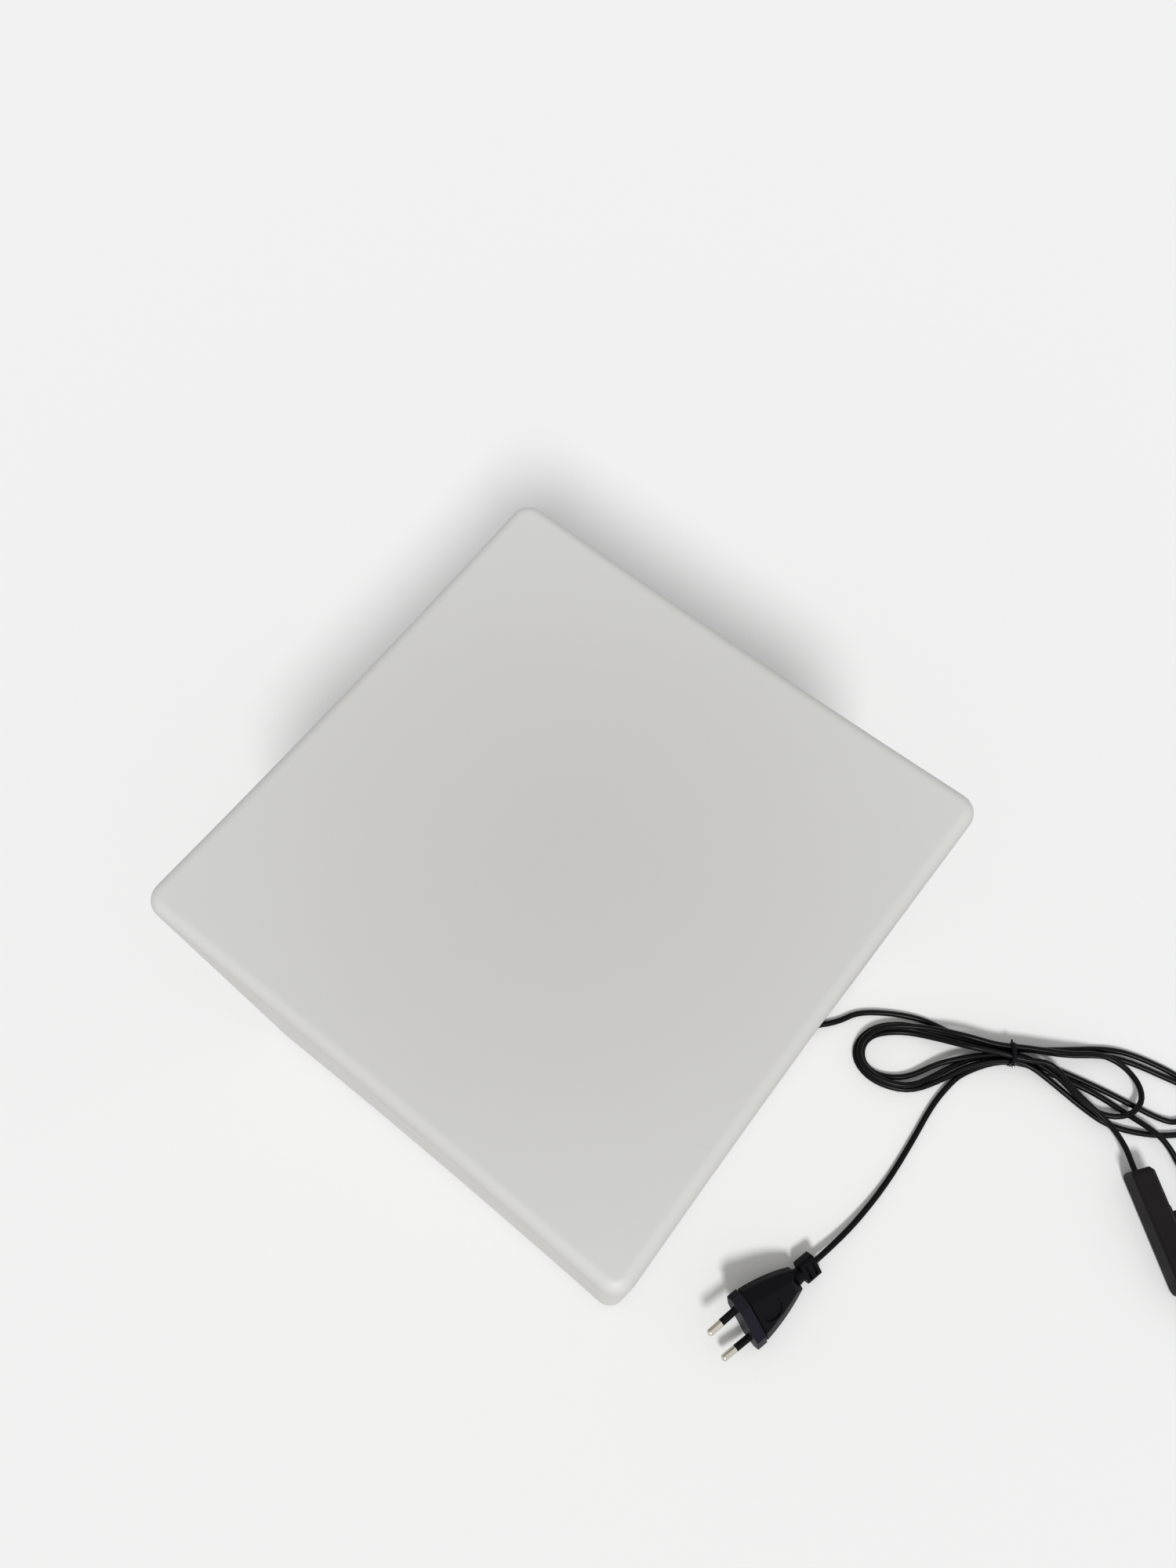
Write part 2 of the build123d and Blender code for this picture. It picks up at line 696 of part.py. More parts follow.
def hank_stops():
    """The hank's places with a direction at each: in a lobe, that of the circle through three.

    Where the strand lies on the floor its direction is level.
    """
    places = hank_places()
    stops = []
    for index, (place, direction) in enumerate(places):
        if direction is None:
            before = place - places[index - 1][0]
            after = places[index + 1][0] - place
            share = after.length / before.length
            direction = before * share + after * (1 / share)
            if place.Z <= FLOOR_STRAND:
                direction = Vector(direction.X, direction.Y, 0)
            direction = direction.normalized()
        stops.append((place, direction))
    return stops


def arc_between(start, tangent, end):
    """The arc, or line, that leaves start along tangent and reaches end."""
    chord = end - start
    turn = math.radians(tangent.get_angle(chord))
    if turn < 1e-4:
        return Edge.make_line(start, end)
    side = tangent - chord * (tangent.dot(chord) / chord.dot(chord))
    middle = start + chord * 0.5 + side.normalized() * (chord.length / 2 * math.tan(turn / 2))
    return Edge.make_three_point_arc(start, middle, end)


def biarc(start, leaving, end, arriving):
    """Two arcs that join two places smoothly, with a given direction at each."""
    gap = end - start
    both = leaving + arriving
    spread = 2 * (1 - leaving.dot(arriving))
    if spread < 1e-9:
        reach = gap.dot(gap) / (4 * gap.dot(arriving))
    else:
        root = math.sqrt(gap.dot(both) ** 2 + spread * gap.dot(gap))
        reach = (root - gap.dot(both)) / spread
    middle = (start + end + (leaving - arriving) * reach) * 0.5
    first = arc_between(start, leaving, middle)
    second = arc_between(end, arriving * -1, middle)
    return [first, Edge.make_three_point_arc(middle, second @ 0.5, end)]


def hank_path():
    stops = hank_stops()
    edges = []
    for (start, leaving), (end, arriving) in zip(stops, stops[1:]):
        straight = leaving.get_angle(end - start) < 0.01 and arriving.get_angle(end - start) < 0.01
        edges += [Edge.make_line(start, end)] if straight else biarc(start, leaving, end, arriving)
    return edges


def swept(edges):
    """A round tube along a chain of edges that join smoothly."""
    path = Wire(edges)
    section = Plane(path @ 0, z_dir=path % 0) * Circle(CORD_R)
    return sweep(section, path)


# ---------------------------------------------------------------- free stretches of cord

# Each route is a list of places chosen by hand, joined by runs and bends.
LEAD_IN_CUBE = [(0, GLAND_OUTLET_Z), (0, 25), (6, 12), (18, 4.9), (38, 3.4), (68, 2.5), (104, 2.1)]
LEAD_ROUTE = [
    (118.5, 67.5, 1.8),
    (130, 80.5, 1.7),
    (137.5, 92.5, 1.7),
    (151, 103.3, 1.7),
    (168, 112.1, 1.7),
    (185, 115.9, 1.7),
]
SWITCH_ROUTE = [
    (255, 133, 8.6),
    (269, 130.4, 8),
    (281, 127.2, 7.8),
    (291.5, 123.4, 7.2),
]
PLUG_ROUTE_BACK = [
    (374.5, 61.9, 7),
    (389.8, 64.3, 5),
    (398.8, 76.9, 3.2),
    (396.5, 92.4, 2),
    (383.5, 102.3, 1.7),
    (365, 109.6, 1.7),
    (346, 119, 1.7),
    (328, 130.5, 2.2),
    (313.6, 137, 5.7),
    (301.1, 138.6, 5.3),
    (287.1, 138.7, 1.7),
    (270, 137.6, 1.7),
    (252.2, 134, 1.7),
]
PLUG_ROUTE_ON = [
    (204.4, 101.2, 1.7),
    (201.1, 88.7, 1.7),
    (200.2, 73, 1.7),
    (201.8, 50, 1.7),
    (202.8, 22.3, 1.7),
    (200.8, -5, 3.4),
]


def free_path(places):
    """Straight runs joined by tangent bends, each as large as its two runs allow."""
    points = [Vector(*place) for place in places]
    radii = []
    for before, here, after in zip(points, points[1:], points[2:]):
        turn = math.radians((here - before).get_angle(after - here))
        shorter = min((here - before).length, (after - here).length)
        radii.append(TURN_SHARE * shorter / math.tan(turn / 2))
    return FilletPolyline(*points, radius=radii), radii


def free_tube(name, places):
    path, radii = free_path(places)
    solid = swept(path.edges())
    section = math.pi * CORD_R**2
    share = solid.volume / (section * path.length)
    tightest = min(radii)
    print(f"{name}: {path.length:.1f} mm, tightest bend {tightest:.1f} mm, volume {share:.4f}")
    print("  bends", [round(r, 1) for r in radii])
    return solid, path.edges()


def lead_places():
    """From the gland down, along the channel and out to the hank."""
    inside = []
    for along, height in LEAD_IN_CUBE:
        x, y = along_channel(gland_from_exit() - along)
        inside.append((x, y, height))
    near = waist(-1, *RIGHT_FROM[0], further=STRAND_END + TIED_RUN)
    return inside + LEAD_ROUTE + [near, hank_start()]


def switch_end(side, inside=SWITCH_CORD_GRIP):
    """Centre of the cord in one end of the in-line switch: -1 near the tie, 1 far from it."""
    reach = side * (SWITCH_LENGTH / 2 - inside)
    return switch_plane().from_local_coords(Vector(reach, 0, SWITCH_CORD_Z))


def switch_lead_places():
    near = waist(1, *LAST_STRAND, further=STRAND_END + TIED_RUN)
    return [hank_end(), near, *SWITCH_ROUTE, switch_end(-1, -SWITCH_STUB), switch_end(-1)]


def plug_lead_places():
    """From the switch's far end, back through the tie and on to the plug."""
    near = plug_plane().from_local_coords(Vector(-PLUG_LENGTH - PLUG_STUB, 0, 0))
    end = plug_plane().from_local_coords(Vector(-PLUG_LENGTH, 0, 0))
    tied = [waist(1, -1, 0), waist(-1, -1, 0)]
    start = [switch_end(1), switch_end(1, -SWITCH_STUB)]
    return start + PLUG_ROUTE_BACK + tied + PLUG_ROUTE_ON + [near, end]


def points_along(edges, spacing=1.5):
    """Places along a chain of edges, with how far along each one lies."""
    found = []
    run = 0.0
    for edge in edges:
        count = max(2, math.ceil(edge.length / spacing))
        for number in range(count):
            share = number / count
            place = edge @ share
            found.append((run + share * edge.length, place.X, place.Y, place.Z))
        run += edge.length
    return found


def least_gap(one, other=None):
    """Least gap between two cords' surfaces, or between the turns of one."""
    nearest = (math.inf, None)
    for index, (run, x, y, z) in enumerate(one):
        for far, u, v, w in other if other is not None else one[index + 1 :]:
            if other is None and far - run < 5 * CORD_R:
                continue
            gap = math.dist((x, y, z), (u, v, w)) - 2 * CORD_R
            if gap < nearest[0]:
                nearest = (gap, (round(x), round(y), round(z)))
    return nearest


def twist_tie():
    """A flat band round the tied strands, with a spur and a knot where its ends meet."""
    wide = 2 * PITCH + 2 * CORD_R + 2 * TIE_GAP
    tall = 2 * PITCH + 2 * CORD_R + 2 * TIE_GAP
    outer = RectangleRounded(wide + 2 * TIE_T, tall + 2 * TIE_T, CORD_R + TIE_GAP + TIE_T)
    inner = RectangleRounded(wide, tall, CORD_R + TIE_GAP)
    band = extrude(outer - inner, TIE_WIDTH / 2, both=True)
    centre = placed(HANK_ANGLE, 0, 0, level(1) + TIE_T + TIE_GAP)
    plane = Plane(centre, x_dir=heading(HANK_ANGLE + 90), z_dir=heading(HANK_ANGLE))
    knot = Pos(-wide / 2 - TIE_T - 0.7, 2.0, 0) * Sphere(KNOT_R)
    spur = Pos(wide / 2 + TIE_T + 0.9, 2.0, 0) * Rot(0, 90, 0) * Cone(1.0, 0.4, 2.4)
    return plane * (band + knot + spur)


# ---------------------------------------------------------------- in-line switch


def switch_plane():
    """The switch's own frame: X along it, Z from its back towards its rocker."""
    turn = math.radians(SWITCH_ANGLE)
    outwards = (-math.sin(turn), math.cos(turn), 0)
    origin = (*SWITCH_AT, SWITCH_WIDTH / 2 + FLOOR_GAP)
    return Plane(origin, x_dir=(math.cos(turn), math.sin(turn), 0), z_dir=outwards)


def switch_block(grow, bottom, top):
    """The housing's outline with rounded ends, grown or shrunk, between two heights."""
    outline = RectangleRounded(
        SWITCH_LENGTH + 2 * grow, SWITCH_WIDTH + 2 * grow, SWITCH_CORNER_R + grow
    )
    return Pos(0, 0, bottom) * extrude(outline, top - bottom)


def cord_holes():
    """The holes in both ends of the housing that hold the cord."""
    return Pos(0, 0, SWITCH_CORD_Z) * Rot(0, 90, 0) * Cylinder(CORD_R + 0.15, SWITCH_LENGTH + 4)


def housing_screw_places():
    for side in (-1, 1):
        yield Pos(side * (SWITCH_LENGTH / 2 - 14), SWITCH_POST_Y)


def switch_lower_shell():
    """The deep back part of the housing, hollow, with screw posts."""
    shell = switch_block(0, 0, SWITCH_SPLIT)
    shell = fillet(shell.faces().sort_by(Axis.Z)[0].edges(), SWITCH_BACK_R)
    shell -= switch_block(-SWITCH_WALL, SWITCH_WALL, SWITCH_SPLIT + 1)
    for place in housing_screw_places():
        shell += place * column(SWITCH_POST_R, SWITCH_WALL, SWITCH_SPLIT)
        shell -= place * column(SWITCH_SCREW_R, 3, SWITCH_SPLIT + 1)
    return shell - cord_holes()


def rocker_window():
    length = ROCKER_LENGTH + 2 * ROCKER_GAP
    width = ROCKER_WIDTH + 2 * ROCKER_GAP
    return RectangleRounded(length, width, 1.0)


def switch_upper_shell():
    """The shallow front part, bevelled all round, with a raised frame round the rocker."""
    shell = switch_block(0, SWITCH_SPLIT, SWITCH_THICK)
    shell = chamfer(shell.faces().sort_by(Axis.Z)[-1].edges(), SWITCH_BEVEL)
    frame = RectangleRounded(ROCKER_LENGTH + 4, ROCKER_WIDTH + 3, 2.0)
    shell += Pos(0, 0, SWITCH_THICK - 0.5) * extrude(frame, 1.1)
    shell -= switch_block(-SWITCH_WALL - 0.4, SWITCH_SPLIT - 1, SWITCH_THICK - SWITCH_WALL)
    shell -= Pos(0, 0, SWITCH_SPLIT - 2) * extrude(rocker_window(), SWITCH_THICK)
    for side in (-1, 1):
        cheek_y = side * (ROCKER_WIDTH / 2 + ROCKER_GAP + 0.7)
        cheek = Pos(0, cheek_y, (PIVOT_Z - 2.4 + SWITCH_THICK - 1) / 2)
        shell += cheek * Box(5, 1.4, SWITCH_THICK - 1 - PIVOT_Z + 2.4)
    pin_hole = Rot(90, 0, 0) * Cylinder(PIVOT_R + PIVOT_FIT, ROCKER_WIDTH + 2 * ROCKER_GAP + 1.6)
    shell -= Pos(0, 0, PIVOT_Z) * pin_hole
    for place in housing_screw_places():
        shell += place * column(SWITCH_POST_R, SWITCH_SPLIT, SWITCH_THICK - 1)
        shell -= place * column(SWITCH_SCREW_R + 0.2, SWITCH_SPLIT - 1, SWITCH_THICK)
        shell -= place * column(SWITCH_HEAD_R + 0.15, SWITCH_THICK - SWITCH_HEAD_T, SWITCH_THICK + 1)
    return shell


def rocker_tilt():
    """Turns the rocker about its pivot to where it rests, one end pressed in."""
    return Pos(0, 0, PIVOT_Z) * Rot(0, ROCKER_TILT, 0) * Pos(0, 0, -PIVOT_Z)


def switch_rocker():
    """A seesaw button with a hollow top face, on two stub pins."""
    half = ROCKER_LENGTH / 2
    top = SWITCH_THICK + 2.4
    with BuildSketch(Plane.XZ) as side:
        with BuildLine():
            Line((-half + 1.2, PIVOT_Z + 1.6), (-half + 0.9, top - 0.4))
            ThreePointArc((-half + 0.9, top - 0.4), (0, top - 1.9), (half - 0.9, top - 0.4))
            Line((half - 0.9, top - 0.4), (half - 1.2, PIVOT_Z + 1.6))
            Line((half - 1.2, PIVOT_Z + 1.6), (3, PIVOT_Z - 1.6))
            Line((3, PIVOT_Z - 1.6), (-3, PIVOT_Z - 1.6))
            Line((-3, PIVOT_Z - 1.6), (-half + 1.2, PIVOT_Z + 1.6))
        make_face()
    body = extrude(side.sketch, ROCKER_WIDTH / 2, both=True)
    pins = Rot(90, 0, 0) * Cylinder(PIVOT_R, ROCKER_WIDTH + 2 * ROCKER_GAP + 1.2)
    return rocker_tilt() * (body + Pos(0, 0, PIVOT_Z) * pins)


def switch_moving_contact():
    """The brass bar under the rocker that closes the circuit."""
    bar = Pos(0, 0, PIVOT_Z - 1.6 - 0.35) * Box(9, 4, 0.7)
    for side in (-1, 1):
        bar += column(1.0, PIVOT_Z - 3.1, PIVOT_Z - 2.2, side * 3.3, 0)
    return rocker_tilt() * bar


def switch_fixed_contacts():
    """Two brass strips on the floor of the housing, each with a contact stud."""
    for side in (-1, 1):
        strip = Pos(side * 9, 0, SWITCH_WALL + 0.4) * Box(15, 4, 0.8)
        strip += column(1.0, SWITCH_WALL + 0.8, PIVOT_Z - 4, side * 3.0, 0)
        yield strip


def switch_terminals():
    """Clamp blocks at the ends of the strips, each with a screw."""
    for side in (-1, 1):
        block = Pos(side * 18.5, 2.2, SWITCH_WALL + 2.1) * Box(4, 5, 4.2)
        block += column(1.5, SWITCH_WALL + 4.1, SWITCH_WALL + 5.1, side * 18.5, 2.2)
        yield block


def switch_housing_screws():
    """Slotted screws that go in from the rocker's side."""
    for place in housing_screw_places():
        screw = column(SWITCH_SCREW_R, 3.2, SWITCH_THICK - SWITCH_HEAD_T)
        screw += column(SWITCH_HEAD_R, SWITCH_THICK - SWITCH_HEAD_T, SWITCH_THICK - 0.1)
        yield place * (screw - Pos(0, 0, SWITCH_THICK) * Box(2 * SWITCH_HEAD_R + 1, 0.5, 0.9))


# ---------------------------------------------------------------- plug


def plug_plane():
    """The plug's own frame: X out of its face along the pins, Y across, rolled as it lies."""
    turn = math.radians(PLUG_ANGLE)
    rise = math.radians(PLUG_PITCH)
    forward = Vector(math.cos(turn) * math.cos(rise), math.sin(turn) * math.cos(rise), math.sin(rise))
    up = Vector(-math.cos(turn) * math.sin(rise), -math.sin(turn) * math.sin(rise), math.cos(rise))
    up = up.rotate(Axis((0, 0, 0), forward), PLUG_ROLL)
    return Plane(PLUG_AT, x_dir=forward, z_dir=up)


def plug_section(shrink=0.0):
    """The flat six-sided outline of the plug, with rounded corners."""
    wide = PLUG_WIDTH / 2 - shrink
    flat = PLUG_FLAT / 2 - shrink * 0.4
    thick = PLUG_THICK / 2 - shrink
    edge = PLUG_EDGE / 2
    corners = [(wide, edge), (flat, thick), (-flat, thick), (-wide, edge)]
    corners += [(-wide, -edge), (-flat, -thick), (flat, -thick), (wide, -edge)]
    outline = make_face(Polyline(*corners, close=True))
    return fillet(outline.vertices(), 1.2)


def plug_face_insert():
    """The hard front part that holds the pins."""
    front = Plane.YZ * plug_section()
    insert = Pos(-PLUG_FACE_T, 0, 0) * extrude(front, PLUG_FACE_T)
    insert = fillet(insert.faces().sort_by(Axis.X)[-1].edges(), 0.7)
    for pin in pin_frames():
        insert -= pin * Cylinder(PIN_CORE_R, 2 * PIN_LENGTH)
    return insert


def pin_frames():
    """Each pin's own frame, at the plug's face, Z along the pin."""
    for side in (-1, 1):
        place = Pos(0, side * PIN_SPACING / 2, 0) * Rot(0, 0, -side * PIN_TOE_IN)
        yield place * Rot(0, 90, 0)


def plug_plan(front, wide):
    """The body's outline from above, drawn to a waist at its tail."""
    tail = (-PLUG_TAIL, 6.6)
    side = (-24, 12.6)
    with BuildSketch() as plan:
        with BuildLine():
            Line((-PLUG_TAIL, -tail[1]), tail)
            ThreePointArc(tail, side, (-PLUG_FACE_T, wide))
            Polyline((-PLUG_FACE_T, wide), (front, wide), (front, -wide), (-PLUG_FACE_T, -wide))
            ThreePointArc((-PLUG_FACE_T, -wide), (side[0], -side[1]), (-PLUG_TAIL, -tail[1]))
        make_face()
    return plan.sketch


def plug_side():
    """The body's outline from the side, a little thinner towards its tail."""
    thick = PLUG_THICK / 2 - 0.4
    with BuildSketch(Plane.XZ) as side:
        with BuildLine():
            Line((-PLUG_TAIL, -4.7), (-PLUG_TAIL, 4.7))
            ThreePointArc((-PLUG_TAIL, 4.7), (-21, 6.4), (-PLUG_FACE_T, thick))
            Line((-PLUG_FACE_T, thick), (-PLUG_FACE_T, -thick))
            ThreePointArc((-PLUG_FACE_T, -thick), (-21, -6.4), (-PLUG_TAIL, -4.7))
        make_face()
    return extrude(side.sketch, PLUG_WIDTH, both=True)


def plug_relief():
    """The notched block and the cone that hold the cord behind the body."""
    start = -PLUG_TAIL + 1
    cone = Pos((start - PLUG_LENGTH) / 2, 0, 0) * Rot(0, -90, 0)
    cone *= Cone(4.6, 2.7, start + PLUG_LENGTH)
    block = Pos(PLUG_BLOCK_X, 0, 0) * Box(PLUG_BLOCK_LENGTH, 13.0, 8.6)
    block = fillet(block.edges().filter_by(Axis.X), 2.6)
    block = fillet(block.faces().sort_by(Axis.X)[-1].edges(), 0.8)
    for offset in (-2.1, 2.1):
        for side in (-1, 1):
            block -= Pos(PLUG_BLOCK_X + offset, 0, side * 4.3) * Box(1.5, 8, 2.4)
    return cone + block


def plug_body():
    """The moulded body: bevelled all round, with grip hollows and a strain relief."""
    slope = (PLUG_WIDTH - PLUG_FLAT) / 2
    drop = (PLUG_THICK - PLUG_EDGE) / 2
    body = extrude(plug_plan(slope, PLUG_WIDTH / 2 - 0.9), PLUG_THICK / 2, both=True)
    for last in (-1, 0):
        flat = body.faces().sort_by(Axis.Z)[last]
        body = chamfer(flat.edges(), slope, drop, reference=flat)
    body &= plug_side()
    groove = Plane.YZ * (plug_section() - plug_section(1.5))
    body -= Pos(-PLUG_FACE_T - 1.0, 0, 0) * extrude(groove, 1.0)
    for side in (-1, 1):
        hollow = Pos(-16, 0, side * (PLUG_THICK / 2 + 0.2)) * Box(13, 13, 2.4)
        body -= fillet(hollow.edges().filter_by(Axis.Z), 6.0)
    body += plug_relief()
    for pin in pin_frames():
        body -= pin * Cylinder(PIN_CORE_R + 0.05, 2 * 9.0)
    return body


def plug_pins():
    """Round pins, thinner under their sleeves, with domed ends."""
    for frame in pin_frames():
        core = Pos(0, 0, (PIN_SLEEVE - 8.5) / 2) * Cylinder(PIN_CORE_R, PIN_SLEEVE + 8.5)
        tip = Pos(0, 0, (PIN_SLEEVE + PIN_LENGTH) / 2) * Cylinder(PIN_R, PIN_LENGTH - PIN_SLEEVE)
        tip = fillet(tip.faces().sort_by(Axis.Z)[-1].edges(), PIN_R * 0.8)
        yield frame * (core + tip)


def plug_pin_sleeves():
    for frame in pin_frames():
        length = PIN_SLEEVE - 0.1
        sleeve = Cylinder(PIN_R, length) - Cylinder(PIN_CORE_R, length + 1)
        yield frame * Pos(0, 0, PIN_SLEEVE - length / 2) * sleeve


# ---------------------------------------------------------------- all the pieces


def main():
    os.makedirs("parts", exist_ok=True)

    save("cube_shell", cube_shell())
    save("base_cover", base_cover())
    save("base_gasket", base_gasket())
    save("base_cover_screws", *cover_screws())
    save("cover_inserts", *cover_inserts())

    save("gland_body", gland_body())
    save("gland_seal", gland_seal())
    save("gland_nut", gland_nut())
    save("holder_lead", holder_lead())

    save("holder_nipple", holder_nipple())
    save("holder_nipple_nuts", *holder_nuts())
    save("holder_cap", holder_cap())
    save("holder_body", holder_body())
    save("holder_core", holder_core())
    save("holder_contact_shell", holder_contact_shell())
    save("holder_centre_contact", holder_centre_contact())
    save("holder_terminals", *holder_terminals())

    save("bulb_tip_contact", bulb_tip_contact())
    save("bulb_tip_insulator", bulb_tip_insulator())
    save("bulb_screw_cap", bulb_screw_cap())
    save("bulb_body", bulb_body())
    save("bulb_diffuser", bulb_diffuser())
    save("bulb_led_board", bulb_led_board())
    save("bulb_driver_board", bulb_driver_board())

    lead, lead_edges = free_tube("cord_lead", lead_places())
    save("cord_lead", lead)
    hank_edges = hank_path()
    hank = swept(hank_edges)
    save("cord_hank", hank)
    switch_lead, switch_edges = free_tube("cord_switch_lead", switch_lead_places())
    save("cord_switch_lead", switch_lead)
    plug_lead, plug_edges = free_tube("cord_plug_lead", plug_lead_places())
    save("cord_plug_lead", plug_lead)
    save("twist_tie", twist_tie())

    hank_length = sum(edge.length for edge in hank_edges)
    share = hank.volume / (math.pi * CORD_R**2 * hank_length)
    radii = [edge.radius for edge in hank_edges if edge.geom_type == GeomType.CIRCLE]
    print(f"cord_hank: {hank_length:.1f} mm, tightest bend {min(radii):.1f} mm, volume {share:.4f}")
    strand = points_along(lead_edges + hank_edges + switch_edges)
    print("least gap of the hank to itself:", least_gap(points_along(hank_edges)))
    print("least gap of the hank and the leads that run on from it:", least_gap(strand))
    print("least gap of the plug lead to them:", least_gap(points_along(plug_edges), strand))

    switch = switch_plane().location
    save("switch_lower_shell", switch * switch_lower_shell())
    save("switch_upper_shell", switch * switch_upper_shell())
    save("switch_rocker", switch * switch_rocker())
    save("switch_moving_contact", switch * switch_moving_contact())
    save("switch_fixed_contacts", *[switch * strip for strip in switch_fixed_contacts()])
    save("switch_terminals", *[switch * block for block in switch_terminals()])
    save("switch_housing_screws", *[switch * screw for screw in switch_housing_screws()])

    plug = plug_plane().location
    save("plug_face_insert", plug * plug_face_insert())
    save("plug_body", plug * plug_body())
    save("plug_pins", *[plug * pin for pin in plug_pins()])
    save("plug_pin_sleeves", *[plug * sleeve for sleeve in plug_pin_sleeves()])


main()
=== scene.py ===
import json
import math

import bmesh
import bpy
from mathutils import Euler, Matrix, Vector


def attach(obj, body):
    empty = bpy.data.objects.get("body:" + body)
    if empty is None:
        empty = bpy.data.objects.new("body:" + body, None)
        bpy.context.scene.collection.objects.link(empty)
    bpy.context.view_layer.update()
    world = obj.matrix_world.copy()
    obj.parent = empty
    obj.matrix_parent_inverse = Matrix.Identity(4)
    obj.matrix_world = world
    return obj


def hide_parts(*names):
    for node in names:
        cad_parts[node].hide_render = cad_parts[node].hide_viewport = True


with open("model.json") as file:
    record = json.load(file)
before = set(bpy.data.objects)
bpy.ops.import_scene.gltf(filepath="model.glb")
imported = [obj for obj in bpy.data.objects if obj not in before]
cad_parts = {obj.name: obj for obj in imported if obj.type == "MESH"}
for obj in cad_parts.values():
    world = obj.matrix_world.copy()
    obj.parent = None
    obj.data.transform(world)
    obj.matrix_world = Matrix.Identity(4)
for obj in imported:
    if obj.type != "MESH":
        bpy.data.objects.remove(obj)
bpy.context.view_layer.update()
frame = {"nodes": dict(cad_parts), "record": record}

MM = 0.001

# ------------------------------------------------------------------ camera

CAMERA_PLACE = (0.12273, -0.13455, 0.75988)
CAMERA_TURN = (22.538, 0.416, 38.412)
SENSOR = 36.0
LENS = 29.978  # for the frame's height, 2000 of the photograph's pixels


def make_camera():
    data = bpy.data.cameras.new("camera")
    data.sensor_fit = "VERTICAL"
    data.sensor_height = SENSOR
    data.sensor_width = SENSOR
    data.lens = LENS
    data.clip_start = 0.01
    data.clip_end = 50
    camera = bpy.data.objects.new("camera", data)
    camera.location = CAMERA_PLACE
    camera.rotation_euler = Euler([math.radians(a) for a in CAMERA_TURN], "XYZ")
    bpy.context.scene.collection.objects.link(camera)
    bpy.context.scene.camera = camera


make_camera()

# ------------------------------------------------------------------ cord

# Sizes and places are the CAD source's, in millimetres and degrees. The places on the cord's free
# stretches are moved by a few millimetres: outwards where the spline would cut inside a
# corner, and towards the photograph at the lower strands.
CORD_R = 1.65
FLOOR_GAP = 0.05
CUBE_WIDTH = 250.0

CHANNEL_ANGLE = 45.0
EXIT_Y = 74.0  # the middle of the channel's mouth in the cube's side
GLAND_FROM_EXIT = 140.0
GLAND_OUTLET_Z = 36.0
GLAND_LENGTH = 12.0
LEAD_HOLE_Z = 72.0
HOLDER_INSIDE = 15.6  # how far from the holder's axis the inner lead ends

TIE_AT = (219.5, 125.9)
TIE_T = 0.8
TIE_GAP = 0.15
TIE_WIDTH = 3.0
TIE_TWIST_UP = 2.0
# Where the tie's painted glint sits on its twisted end.
TIE_PAINTED_GLINT_AT = -8.3
HANK_ANGLE = 34.0
RIGHT_ANGLE = 20.0
LEFT_ANGLE = 38.0
LOOPS = 3
PITCH = 3.75
WAIST_HALF = 8.0
STRAND_END = 4.0
TIED_RUN = 10.0

SWITCH_AT = (329.85, 88.35)
SWITCH_ANGLE = -36.3
SWITCH_LENGTH = 66.6
SWITCH_WIDTH = 17.0
SWITCH_CORD_Z = 5.2
SWITCH_CORD_GRIP = 4.0
SWITCH_STUB = 2.7

PLUG_AT = (181.7, -86.3, 12.69)
PLUG_ANGLE = -104.5
PLUG_PITCH = 7.2
PLUG_LENGTH = 52.0
PLUG_STUB = 9.0

# Along the channel from the gland and up, then in the cube's own axes.
LEAD_IN_CUBE = [
    (0, GLAND_OUTLET_Z), (0, 25), (6, 12), (18, 4.9), (38, 3.4), (68, 2.5), (104, 2.1),
]
LEAD_ROUTE = [
    (118.5, 67.5, 1.8), (130.8, 80.6, 1.7), (136.4, 92.6, 1.7),
    (150.6, 103.5, 1.7), (168, 112.8, 1.7), (185.5, 116.3, 1.7),
]
# Along and across the lobes of a side from the tie's middle, and up.
RIGHT_LOBES = [
    [(29.8, 13.4, 1.7), (50.6, 21.2, 1.7), (66.8, 23.2, 1.7), (92.9, 19.6, 1.7)]
    + [(104.1, 14.3, 1.7), (111.4, 4.9, 1.7), (109.9, -6.6, 1.7), (101.1, -13.5, 1.7)]
    + [(83.6, -19.5, 1.7), (61.1, -21.7, 1.7), (45.1, -16, 1.7), (27, -8.7, 4.5)],
    [(30.7, 9.4, 5.4), (50.3, 17.2, 1.7), (67.4, 18.3, 1.7), (88.9, 15.5, 1.7)]
    + [(96.6, 14.7, 1.7), (103, 8.5, 1.7), (103.6, -0.2, 1.7), (98.3, -7.1, 1.7)]
    + [(90.1, -8.9, 1.7), (70.9, -5.6, 1.7), (52.3, -2.1, 1.7), (31.3, 0.4, 1.7)],
    [(31.2, 9.4, 10.2), (46.1, 16.2, 6.1), (60.3, 15, 5.5), (72, 7.5, 5.4)]
    + [(76.1, -2.9, 5.9), (69.9, -13.8, 6.2), (56.1, -17.8, 4.3), (42, -13, 5.3)]
    + [(28.3, -4, 6.1)],
]
